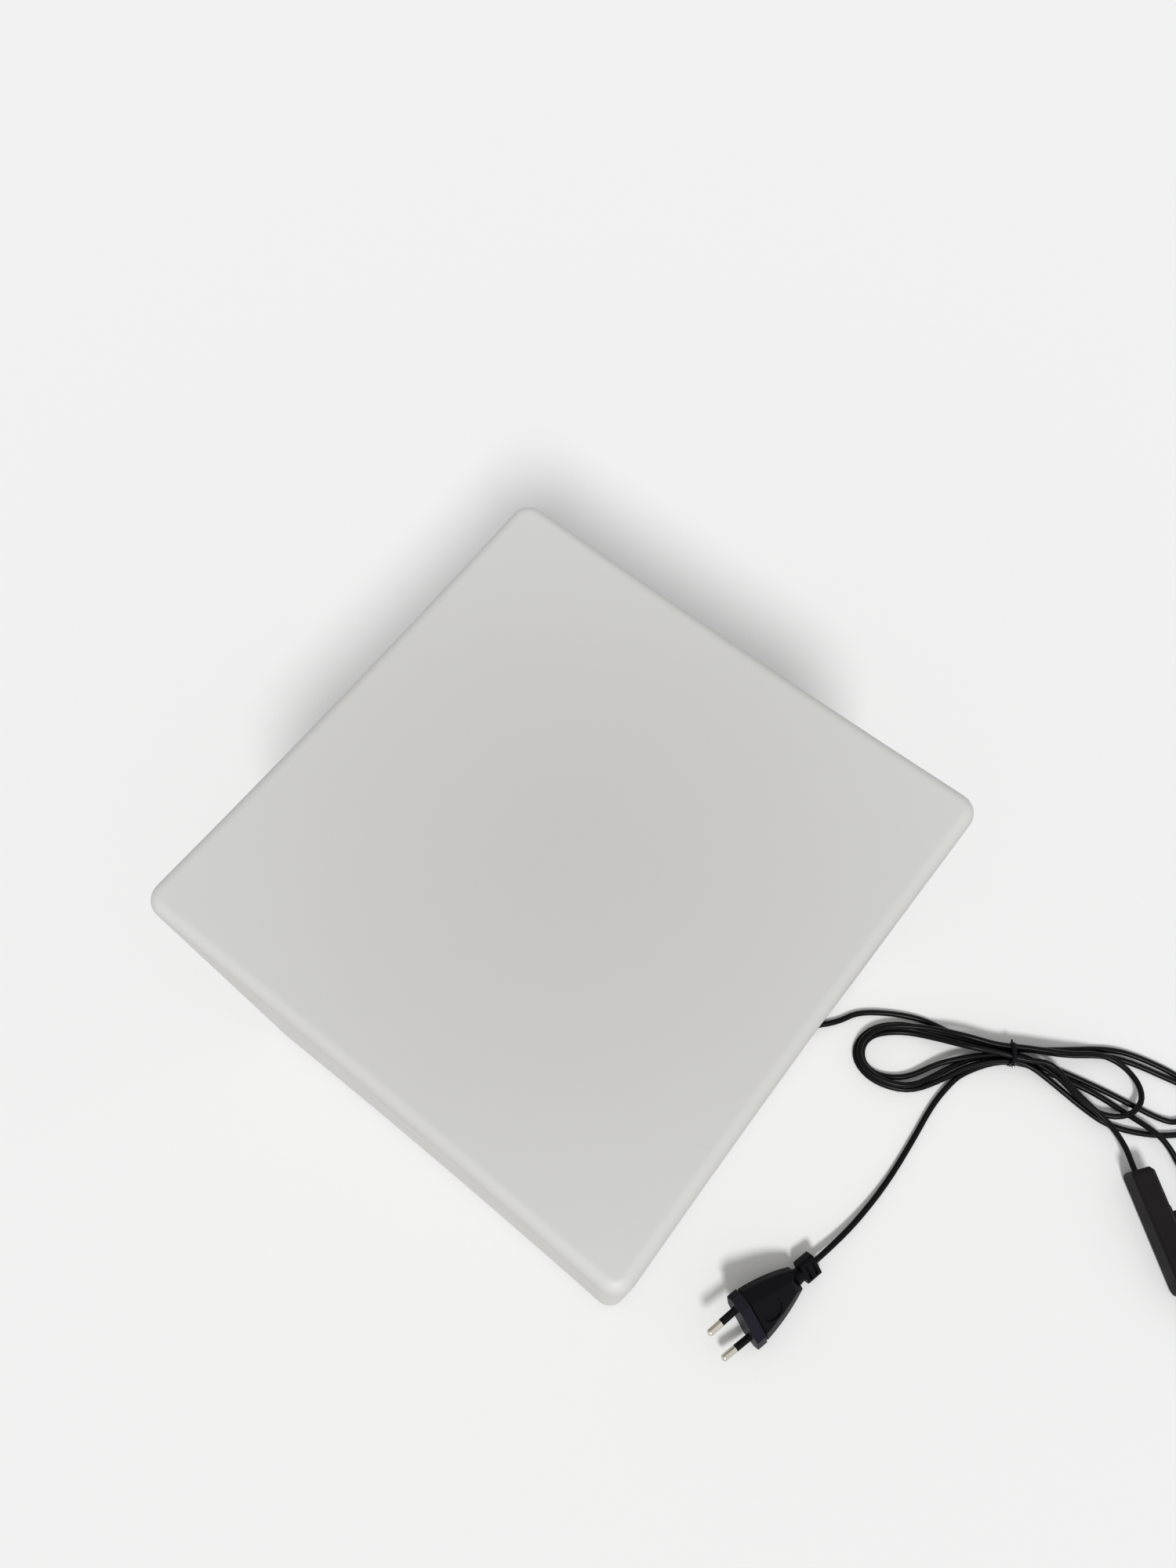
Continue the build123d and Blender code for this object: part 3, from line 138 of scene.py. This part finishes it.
LEFT_LOBES = [
    [(-25.1, -6.4, 5), (-41.6, -14.7, 2.5), (-59.9, -21, 1.7), (-79.2, -15.5, 1.7)]
    + [(-89.1, -4.5, 1.7), (-88, 7.4, 1.7), (-76.9, 16.6, 1.7), (-59.9, 18.5, 1.7)]
    + [(-43.7, 13.6, 3), (-25.3, 8.2, 6.4)],
    [(-25.8, -2.4, 2.6), (-42.1, -10.8, 4.5), (-60, -19.2, 5.2), (-78.1, -14.2, 5.2)]
    + [(-87.2, -4.7, 5.1), (-86.5, 7, 5.2), (-75.6, 15.3, 5.2), (-60.2, 16.6, 5.4)]
    + [(-43.3, 14.5, 7), (-25, 9.3, 11.2)],
    [(-25.2, -1.8, 7.3), (-41.8, -4.8, 4.6), (-60.4, -13.2, 1.7), (-76.9, -11.9, 1.7)]
    + [(-84.6, -4.9, 1.7), (-84.7, 5.1, 1.7), (-77.2, 12.4, 1.7), (-60.1, 13.9, 1.7)]
    + [(-43.2, 9.8, 4.6), (-24.8, 3.1, 11.7)],
]
# The column and the row inside the tie that each strand takes.
RIGHT_FROM = [(1, 0), (1, 1), (1, 2)]
RIGHT_TO = [(-1, 1), (0, 0), (0, 1)]
LEFT_TO = [(1, 1), (1, 2), (0, 2)]
LAST_STRAND = (-1, 2)
PLUG_STRAND = (-1, 0)

SWITCH_ROUTE = [
    (256.1, 129.7, 9.1), (270, 127.6, 8.4), (283.3, 126.4, 6.8), (295.6, 121.3, 7),
]
PLUG_ROUTE_BACK = [
    (373.9, 60.2, 7), (390.7, 63, 5), (397.8, 76.5, 3.2),
    (396.2, 93.3, 2), (384.2, 102.6, 1.7), (365, 109.3, 1.7),
    (345.9, 118.6, 1.7), (327.5, 131.3, 2.2), (313.3, 137.7, 5.7),
    (301.3, 138.7, 5.3), (287.6, 138.8, 1.7), (269.9, 137.9, 1.7),
    (253.3, 134.5, 1.7),
]
PLUG_ROUTE_ON = [
    (203.3, 100.3, 1.7), (201, 89.2, 1.7), (199.8, 74, 1.7),
    (201.9, 50.6, 1.7), (203.2, 22.3, 1.7), (201.1, -5.8, 3.4),
]


def placed(angle, along, across, height):
    """A place from the tie's middle, along and across a direction in plan, at a height."""
    turn = math.radians(angle)
    x = TIE_AT[0] + along * math.cos(turn) - across * math.sin(turn)
    y = TIE_AT[1] + along * math.sin(turn) + across * math.cos(turn)
    return Vector((x, y, height))


def waist(side, column, row, further=0.0):
    """Where a strand leaves the tie on a side, in the grid of columns and rows inside it."""
    height = CORD_R + FLOOR_GAP + row * PITCH + TIE_T + TIE_GAP
    return placed(HANK_ANGLE, side * (WAIST_HALF + further), column * PITCH, height)


def hank_places():
    """The places that the hank runs through, from its first strand's end to its last one's."""
    places = [waist(-1, *RIGHT_FROM[0], further=STRAND_END)]
    places.append(waist(-1, *RIGHT_FROM[0]))
    for loop in range(LOOPS):
        places.append(waist(1, *RIGHT_FROM[loop]))
        places += [placed(RIGHT_ANGLE, *place) for place in RIGHT_LOBES[loop]]
        places.append(waist(1, *RIGHT_TO[loop]))
        places.append(waist(-1, *RIGHT_TO[loop]))
        places += [placed(LEFT_ANGLE, *place) for place in LEFT_LOBES[loop]]
        places.append(waist(-1, *LEFT_TO[loop]))
    return places + [waist(1, *LAST_STRAND)]


def switch_place(along):
    """A place on the cord's line through the switch, which lies on its long side."""
    turn = math.radians(SWITCH_ANGLE)
    x = SWITCH_AT[0] + along * math.cos(turn) - SWITCH_CORD_Z * math.sin(turn)
    y = SWITCH_AT[1] + along * math.sin(turn) + SWITCH_CORD_Z * math.cos(turn)
    return Vector((x, y, SWITCH_WIDTH / 2 + FLOOR_GAP))


def plug_place(along):
    """A place on the plug's axis, forwards from its face."""
    turn = math.radians(PLUG_ANGLE)
    rise = math.radians(PLUG_PITCH)
    level = math.cos(rise)
    forward = Vector((math.cos(turn) * level, math.sin(turn) * level, math.sin(rise)))
    return Vector(PLUG_AT) + forward * along


def channel_place(distance, height):
    """A place over the channel's line, inwards from its mouth."""
    turn = math.radians(CHANNEL_ANGLE)
    x = CUBE_WIDTH / 2 - distance * math.cos(turn)
    y = EXIT_Y - distance * math.sin(turn)
    return Vector((x, y, height))


def cord_points():
    """The cord's control points, from the gland's outlet to the plug."""
    points = [channel_place(GLAND_FROM_EXIT - along, height) for along, height in LEAD_IN_CUBE]
    points += [Vector(place) for place in LEAD_ROUTE]
    points.append(waist(-1, *RIGHT_FROM[0], further=STRAND_END + TIED_RUN))
    points += hank_places()
    points.append(waist(1, *LAST_STRAND, further=STRAND_END + TIED_RUN))
    points += [Vector(place) for place in SWITCH_ROUTE]
    gripped = SWITCH_LENGTH / 2 - SWITCH_CORD_GRIP
    outside = SWITCH_LENGTH / 2 + SWITCH_STUB
    points += [switch_place(along) for along in (-outside, -gripped, gripped, outside)]
    points += [Vector(place) for place in PLUG_ROUTE_BACK]
    points += [waist(1, *PLUG_STRAND), waist(-1, *PLUG_STRAND)]
    points += [Vector(place) for place in PLUG_ROUTE_ON]
    return points + [plug_place(-PLUG_LENGTH - PLUG_STUB), plug_place(-PLUG_LENGTH)]


def make_lead(name, points):
    """A cord on one smooth spline, with the places as its control points."""
    data = bpy.data.curves.new(name, "CURVE")
    data.dimensions = "3D"
    data.bevel_depth = 1  # times each point's radius, which the curve's box is made from
    data.bevel_resolution = 4
    data.resolution_u = 4
    data.use_fill_caps = True
    spline = data.splines.new("NURBS")
    spline.points.add(len(points) - 1)
    for target, place in zip(spline.points, points):
        target.co = (*(place * MM), 1)
        target.radius = CORD_R * MM
    spline.order_u = 3
    spline.use_endpoint_u = True
    lead = bpy.data.objects.new(name, data)
    bpy.context.scene.collection.objects.link(lead)
    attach(lead, "cube")
    return lead


def inner_lead_points():
    """From the gland's top up and over into the holder, inside the cube."""
    start = channel_place(GLAND_FROM_EXIT, GLAND_OUTLET_Z + GLAND_LENGTH)
    corner = channel_place(GLAND_FROM_EXIT, LEAD_HOLE_Z)
    inwards = Vector((-corner.x, -corner.y, 0))
    return [start, corner, corner + inwards * (1 - HOLDER_INSIDE / inwards.length)]


# ------------------------------------------------------------------ tie

# Half of the band's section, as shares of its width and heights: its edge, face and wire's ridge.
BAND_HALF_SECTION = [(-0.5, -0.32), (-0.5, 0.1), (-0.2, 0.17), (-0.12, 0.4)]
BAND_CORNER_STEPS = 8
BAND_WAVER = 0.05
BAND_WAVES = 7
TWIST_STEPS = 32
TWIST_NARROWS = 0.45
TWIST_TIP = 0.35


def add_tube(mesh, points, radii, sides=10):
    """Adds a round tube along the points, closed at both ends."""
    rings = []
    side = (points[1] - points[0]).orthogonal()
    for number, (point, radius) in enumerate(zip(points, radii)):
        ahead = points[min(number + 1, len(points) - 1)] - points[max(number - 1, 0)]
        ahead.normalize()
        side = (side - ahead * side.dot(ahead)).normalized()
        across = ahead.cross(side)
        ring = []
        for step in range(sides):
            turn = math.tau * step / sides
            offset = side * math.cos(turn) + across * math.sin(turn)
            ring.append(mesh.verts.new((point + offset * radius) * MM))
        rings.append(ring)
    for first, second in zip(rings, rings[1:]):
        for step in range(sides):
            after = (step + 1) % sides
            mesh.faces.new((first[step], first[after], second[after], second[step]))
    mesh.faces.new(reversed(rings[0]))
    mesh.faces.new(rings[-1])


def tie_place(across, up, along=0.0):
    """A place in the tie's own frame, whose middle is the middle of the strands."""
    height = CORD_R + FLOOR_GAP + PITCH + TIE_T + TIE_GAP
    return placed(HANK_ANGLE, along, across, height + up)


def add_tie_band(mesh):
    """The flat band with the ridge of its wire, round the strands; its edges waver a little."""
    half = PITCH + CORD_R + TIE_GAP + TIE_T / 2
    corner = CORD_R + TIE_GAP + TIE_T / 2
    mirrored = [(-share, height) for share, height in reversed(BAND_HALF_SECTION)]
    section = BAND_HALF_SECTION + mirrored
    rings = []
    for quarter in range(4):
        middle = math.radians(45 + 90 * quarter)
        centre_x = math.copysign(half - corner, math.cos(middle))
        centre_y = math.copysign(half - corner, math.sin(middle))
        for step in range(BAND_CORNER_STEPS + 1):
            turn = math.radians(90 * (quarter + step / BAND_CORNER_STEPS))
            width = TIE_WIDTH * (1 - BAND_WAVER + BAND_WAVER * math.sin(BAND_WAVES * turn))
            ring = []
            for share, height in section:
                x = centre_x + (corner + height) * math.cos(turn)
                y = centre_y + (corner + height) * math.sin(turn)
                ring.append(mesh.verts.new(tie_place(x, y, share * width) * MM))
            rings.append(ring)
    for first, second in zip(rings, rings[1:] + rings[:1]):
        for step in range(len(section)):
            after = (step + 1) % len(section)
            mesh.faces.new((first[step], first[after], second[after], second[step]))


def add_tie_twist(mesh, start, end, turns, radius, wire):
    """The two ends of the wire, twisted round each other and getting thinner."""
    for phase in (0, math.pi):
        points, radii = [], []
        for step in range(TWIST_STEPS + 1):
            share = step / TWIST_STEPS
            turn = phase + math.tau * turns * share
            narrow = 1 - TWIST_NARROWS * share
            up = TIE_TWIST_UP + radius * narrow * math.cos(turn)
            along = radius * narrow * math.sin(turn)
            points.append(tie_place(start + (end - start) * share, up, along))
            radii.append(wire * narrow * (TWIST_TIP if step in (0, TWIST_STEPS) else 1))
        add_tube(mesh, points, radii)


def make_tie():
    mesh = bmesh.new()
    add_tie_band(mesh)
    add_tie_twist(mesh, start=6.1, end=8.35, turns=1.1, radius=0.42, wire=0.4)
    add_tie_twist(mesh, start=-6.1, end=-8.4, turns=1.6, radius=0.75, wire=0.55)
    bmesh.ops.recalc_face_normals(mesh, faces=mesh.faces)
    data = bpy.data.meshes.new("tie")
    mesh.to_mesh(data)
    mesh.free()
    for polygon in data.polygons:
        polygon.use_smooth = True
    tie = bpy.data.objects.new("tie", data)
    bpy.context.scene.collection.objects.link(tie)
    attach(tie, "cube")
    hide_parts("twist_tie")
    return tie


tie = make_tie()
cord_route = cord_points()
cord = make_lead("cord", cord_route)
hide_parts("cord_lead", "cord_hank", "cord_switch_lead", "cord_plug_lead")
inner_route = inner_lead_points()
inner_lead = make_lead("inner_lead", inner_route)
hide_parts("holder_lead")

# ------------------------------------------------------------------ materials

DARK = 0.05  # linear; a plastic with no channel over it counts as black
MICRON = 0.000001


def srgb(*values):
    """Linear colour of an sRGB one that is given from 0 to 255."""
    shares = [value / 255 for value in values]
    return (*[s / 12.92 if s <= 0.04045 else ((s + 0.055) / 1.055) ** 2.4 for s in shares], 1)


class Maker:
    """Builds a node material step by step."""

    def __init__(self, name):
        self.material = bpy.data.materials.new(name)
        self.material.use_nodes = True
        self.tree = self.material.node_tree
        self.shader = self.tree.nodes["Principled BSDF"]
        self.position = self.node("ShaderNodeTexCoord").outputs["Object"]

    def node(self, kind, **settings):
        made = self.tree.nodes.new(kind)
        for key, value in settings.items():
            setattr(made, key, value)
        return made

    def link(self, source, target):
        self.tree.links.new(source, target)

    def noise(self, scale, detail, roughness=0.55, stretch=None):
        texture = self.node("ShaderNodeTexNoise")
        texture.inputs["Scale"].default_value = scale
        texture.inputs["Detail"].default_value = detail
        texture.inputs["Roughness"].default_value = roughness
        self.link(self.stretched(stretch), texture.inputs["Vector"])
        return texture.outputs["Fac"]

    def stretched(self, stretch):
        if stretch is None:
            return self.position
        mapping = self.node("ShaderNodeMapping")
        mapping.inputs["Scale"].default_value = stretch
        self.link(self.position, mapping.inputs["Vector"])
        return mapping.outputs["Vector"]

    def ramp(self, source, low, high, first, second):
        """Runs from one colour at low to another at high."""
        ramp = self.node("ShaderNodeValToRGB")
        ramp.color_ramp.elements[0].position = low
        ramp.color_ramp.elements[1].position = high
        ramp.color_ramp.elements[0].color = first
        ramp.color_ramp.elements[1].color = second
        self.link(source, ramp.inputs["Fac"])
        return ramp.outputs["Color"]

    def range(self, source, low, high, to_low, to_high):
        mapped = self.node("ShaderNodeMapRange")
        mapped.inputs["From Min"].default_value = low
        mapped.inputs["From Max"].default_value = high
        mapped.inputs["To Min"].default_value = to_low
        mapped.inputs["To Max"].default_value = to_high
        self.link(source, mapped.inputs["Value"])
        return mapped.outputs["Result"]

    def mix(self, factor, first, second):
        mixed = self.node("ShaderNodeMix", data_type="RGBA")
        sockets = {"factor": mixed.inputs[0], "a": mixed.inputs[6], "b": mixed.inputs[7]}
        for key, value in (("factor", factor), ("a", first), ("b", second)):
            if isinstance(value, bpy.types.NodeSocket):
                self.link(value, sockets[key])
            else:
                sockets[key].default_value = value
        return mixed.outputs[2]

    def bump(self, height, strength, distance):
        """Lays a bump over those that the shader has already."""
        bump = self.node("ShaderNodeBump")
        bump.inputs["Strength"].default_value = strength
        bump.inputs["Distance"].default_value = distance
        self.link(height, bump.inputs["Height"])
        if self.shader.inputs["Normal"].is_linked:
            self.link(self.shader.inputs["Normal"].links[0].from_socket, bump.inputs["Normal"])
        self.link(bump.outputs["Normal"], self.shader.inputs["Normal"])

    def set(self, **values):
        for key, value in values.items():
            name = key.replace("_", " ").title().replace("Ior", "IOR")
            self.shader.inputs[name].default_value = value


def shade(colour, factor):
    return (*[min(1, channel * factor) for channel in colour[:3]], 1)


DUST = srgb(176, 174, 170)


def moulded(name, colour, rough, mottle, grain, depth, dust):
    """A moulded plastic: faint mottling, a fine spark-eroded grain and uneven gloss.

    The grain is a number of bumps to the metre and their depth in microns.
    """
    maker = Maker(name)
    patches = maker.noise(28, 4)
    base = maker.ramp(patches, 0.3, 0.7, shade(colour, 1 - mottle), shade(colour, 1 + mottle))
    specks = maker.noise(2400, 2, 0.7)
    flecks = maker.range(specks, 0.66, 0.74, 0, dust)
    base = maker.mix(flecks, base, DUST)
    maker.link(base, maker.shader.inputs["Base Color"])
    gloss = maker.noise(120, 5)
    roughness = maker.range(gloss, 0.3, 0.7, rough - 0.06, rough + 0.07)
    maker.link(roughness, maker.shader.inputs["Roughness"])
    maker.bump(maker.noise(grain, 2, 0.6), 0.35, depth * MICRON)
    maker.set(specular_ior_level=0.07 if max(colour[:3]) < DARK else 0.45)
    return maker


def metal(name, colour, rough, stretch, scratches=600, tarnish=0.12):
    """A metal with drawn or turned scratches, uneven gloss and a little tarnish."""
    maker = Maker(name)
    maker.set(metallic=1.0)
    stains = maker.noise(60, 5)
    base = maker.ramp(stains, 0.35, 0.7, shade(colour, 1 - tarnish), colour)
    maker.link(base, maker.shader.inputs["Base Color"])
    lines = maker.noise(scratches, 3, 0.6, (1, 1, stretch))
    roughness = maker.range(lines, 0.3, 0.7, rough * 0.6, rough * 1.5)
    maker.link(roughness, maker.shader.inputs["Roughness"])
    maker.bump(lines, 0.25, 20 * MICRON)
    return maker


def opal_shell():
    """Rotation-moulded opal polyethylene: satin, a little waxy, with faint flow marks.

    The colour is darker in the middle of each face and paler towards its edges and corners,
    and the sides are painted a little darker than the top, as painted shade.
    """
    maker = Maker("opal polyethylene")
    colour = srgb(209, 209, 206)
    clouds = maker.noise(9, 5, 0.55)
    base = maker.ramp(clouds, 0.3, 0.7, shade(colour, 0.985), shade(colour, 1.012))
    # Darker in the middle of each face and paler towards its edges and corners.
    from_centre = maker.node("ShaderNodeVectorMath", operation="DISTANCE")
    maker.link(maker.position, from_centre.inputs[0])
    from_centre.inputs[1].default_value = (0, 0, CUBE_WIDTH / 2 * MM)
    darker_middle = maker.range(from_centre.outputs["Value"], 0.125, 0.215, 1, 0)
    tinted = maker.mix(darker_middle, base, srgb(198, 197, 193))
    pits = maker.noise(1500, 2, 0.65)
    specks = maker.range(pits, 0.70, 0.78, 0, 0.35)
    spotted = maker.mix(specks, tinted, srgb(176, 174, 168))
    # Painted shade: the sides are mixed towards a darker colour than the top, less so over the
    # rounded edges.
    slope = maker.node("ShaderNodeSeparateXYZ")
    maker.link(maker.node("ShaderNodeNewGeometry").outputs["Normal"], slope.inputs[0])
    side_shade_share = maker.range(slope.outputs["Z"], 0.1, 0.9, 1, 0)
    side_shaded = maker.mix(side_shade_share, spotted, srgb(193, 192, 187))
    maker.link(side_shaded, maker.shader.inputs["Base Color"])
    gloss = maker.noise(40, 5)
    maker.link(maker.range(gloss, 0.3, 0.7, 0.36, 0.47), maker.shader.inputs["Roughness"])
    maker.set(subsurface_weight=0.12, subsurface_scale=0.004, specular_ior_level=0.35)
    maker.set(coat_weight=0.04, coat_roughness=0.3)
    maker.shader.inputs["Subsurface Radius"].default_value = (1.0, 0.96, 0.88)
    maker.bump(maker.noise(26, 3, 0.5), 0.12, 400 * MICRON)
    maker.bump(maker.noise(700, 2, 0.6), 0.22, 60 * MICRON)
    return maker


def cord_jacket():
    """Satin black PVC, glossier than the mouldings."""
    maker = moulded("cord jacket", srgb(6, 6, 8), 0.3, 0.12, 1600, 20, 0.05)
    maker.set(specular_ior_level=0.11)
    return maker


def tie_plastic():
    """Glossy black plastic on the tie's wire, with a painted glint: a light metal patch at the tip
    of its twisted end.
    """
    maker = moulded("tie plastic", srgb(16, 16, 19), 0.24, 0.1, 1200, 20, 0.04)
    # Painted glint: a light metallic patch, ragged at its edge, round the tip of the twisted end.
    glint_centre = tie_place(TIE_PAINTED_GLINT_AT, TIE_TWIST_UP)
    from_end = maker.node("ShaderNodeVectorMath", operation="DISTANCE")
    maker.link(maker.position, from_end.inputs[0])
    from_end.inputs[1].default_value = glint_centre * MM
    ragged = maker.node("ShaderNodeMath", operation="MULTIPLY_ADD")
    maker.link(maker.noise(900, 2), ragged.inputs[0])
    ragged.inputs[1].default_value = 0.0008
    maker.link(from_end.outputs["Value"], ragged.inputs[2])
    painted_glint = maker.range(ragged.outputs[0], 0.0016, 0.0021, 1, 0)
    plain = maker.shader.inputs["Base Color"].links[0].from_socket
    maker.link(maker.mix(painted_glint, plain, srgb(206, 206, 212)), maker.shader.inputs["Base Color"])
    maker.link(painted_glint, maker.shader.inputs["Metallic"])
    return maker


# For each slot of the record a name, a colour, the roughness, the mottling, the grain, its depth in
# microns and the dust.
PLASTICS = {
    "cover": ("cover plastic", (206, 205, 201), 0.48, 0.03, 700, 50, 0.1),
    "gasket": ("gasket rubber", (30, 30, 31), 0.8, 0.15, 500, 60, 0.25),
    "gland": ("gland nylon", (24, 24, 25), 0.42, 0.1, 800, 40, 0.12),
    "inner_lead": ("inner lead", (212, 210, 204), 0.4, 0.04, 1500, 20, 0.05),
    "holder": ("holder bakelite", (26, 25, 25), 0.3, 0.12, 900, 20, 0.15),
    "ceramic_core": ("core ceramic", (214, 211, 201), 0.5, 0.03, 500, 50, 0.1),
    "insulator": ("cap glass", (24, 24, 28), 0.12, 0.08, 500, 10, 0.0),
    "bulb_skirt": ("bulb skirt", (226, 226, 223), 0.4, 0.02, 900, 30, 0.08),
    "bulb_dome": ("bulb dome", (236, 235, 230), 0.35, 0.015, 600, 30, 0.04),
    "led_board": ("light board", (228, 228, 222), 0.35, 0.03, 700, 30, 0.1),
    "driver_board": ("supply board", (168, 150, 96), 0.45, 0.12, 900, 40, 0.2),
    "switch_case": ("switch case", (27, 24, 25), 0.5, 0.1, 1300, 40, 0.05),
    "rocker": ("rocker", (17, 16, 17), 0.42, 0.1, 1300, 30, 0.05),
    "plug_face": ("plug face", (27, 25, 34), 0.42, 0.1, 1300, 30, 0.06),
    "plug_body": ("plug body", (9, 8, 11), 0.42, 0.12, 1100, 40, 0.06),
    "sleeves": ("pin sleeve", (14, 14, 15), 0.4, 0.1, 1300, 20, 0.03),
}

# A name, a colour, the roughness, how the scratches are drawn along Z and, where they differ from
# the usual ones, their number to the metre and the tarnish.
METALS = {
    "screws": ("screw steel", (182, 181, 178), 0.3, 6),
    "inserts": ("insert brass", (196, 160, 92), 0.3, 5),
    "zinc": ("zinc plate", (188, 190, 190), 0.32, 8, 500, 0.2),
    "contact": ("contact brass", (206, 176, 108), 0.22, 7),
    "bulb_cap": ("bulb cap", (198, 197, 193), 0.24, 9, 500, 0.15),
    "pins": ("pin nickel", (212, 207, 194), 0.16, 1, 900, 0.1),
}


def make_materials():
    """The material of every slot in the record."""
    made = {"shell": opal_shell(), "cord": cord_jacket(), "tie": tie_plastic()}
    for slot, (name, colour, *settings) in PLASTICS.items():
        made[slot] = moulded(name, srgb(*colour), *settings)
    for slot, (name, colour, *settings) in METALS.items():
        made[slot] = metal(name, srgb(*colour), *settings)
    return {slot: maker.material for slot, maker in made.items()}


MATERIALS = make_materials()


def dress():
    """Gives every CAD node the material of its slot in the record."""
    for entry in frame["record"]["subparts"]:
        node = frame["nodes"][entry["node"]]
        node.data.materials.clear()
        node.data.materials.append(MATERIALS[entry["material_slot"]])
    cord.data.materials.append(MATERIALS["cord"])
    inner_lead.data.materials.append(MATERIALS["inner_lead"])
    tie.data.materials.append(MATERIALS["tie"])


dress()

# ------------------------------------------------------------------ floor and light

PAPER = srgb(242, 242, 242)
FLOOR_GREY = srgb(205, 205, 205)
FLOOR_SIZE = 12
AMBIENT = 0.48


def seen_rays(tree):
    """1 for the rays that look, straight or by a gloss or a glass, and 0 for those that light."""
    rays = tree.nodes.new("ShaderNodeLightPath")
    seen = rays.outputs["Is Camera Ray"]
    for kind in ("Is Glossy Ray", "Is Transmission Ray"):
        either = tree.nodes.new("ShaderNodeMath")
        either.operation = "MAXIMUM"
        tree.links.new(seen, either.inputs[0])
        tree.links.new(rays.outputs[kind], either.inputs[1])
        seen = either.outputs[0]
    return seen


def make_floor():
    """A pale floor, greyer to the light that it sends on to the object than to the camera."""
    bpy.ops.mesh.primitive_plane_add(size=FLOOR_SIZE, location=(0, 0, 0))
    floor = bpy.context.object
    floor.name = "floor"
    maker = Maker("floor")
    maker.set(roughness=0.9, specular_ior_level=0.0)
    shown = maker.mix(seen_rays(maker.tree), FLOOR_GREY, PAPER)
    maker.link(shown, maker.shader.inputs["Base Color"])
    floor.data.materials.append(maker.material)


def make_world():
    """An even white surround for the light, and paper white where it is seen."""
    world = bpy.data.worlds.new("studio")
    bpy.context.scene.world = world
    world.use_nodes = True
    tree = world.node_tree
    background = tree.nodes["Background"]
    background.inputs["Color"].default_value = (1, 1, 1, 1)
    background.inputs["Strength"].default_value = AMBIENT
    shown = tree.nodes.new("ShaderNodeBackground")
    shown.inputs["Color"].default_value = PAPER
    mixed = tree.nodes.new("ShaderNodeMixShader")
    tree.links.new(seen_rays(tree), mixed.inputs[0])
    tree.links.new(background.outputs[0], mixed.inputs[1])
    tree.links.new(shown.outputs[0], mixed.inputs[2])
    tree.links.new(mixed.outputs[0], tree.nodes["World Output"].inputs["Surface"])


def add_sun(azimuth, elevation, strength, softness):
    """A soft sun at a height over the floor, turned by an azimuth from the X axis."""
    data = bpy.data.lights.new("key", "SUN")
    data.energy = strength
    data.angle = math.radians(softness)
    sun = bpy.data.objects.new("key", data)
    sun.rotation_euler = (0, math.radians(90 - elevation), math.radians(azimuth))
    bpy.context.scene.collection.objects.link(sun)


make_floor()
make_world()
add_sun(azimuth=-48, elevation=51.5, strength=2.08, softness=12)

bpy.context.scene.view_settings.view_transform = "Standard"
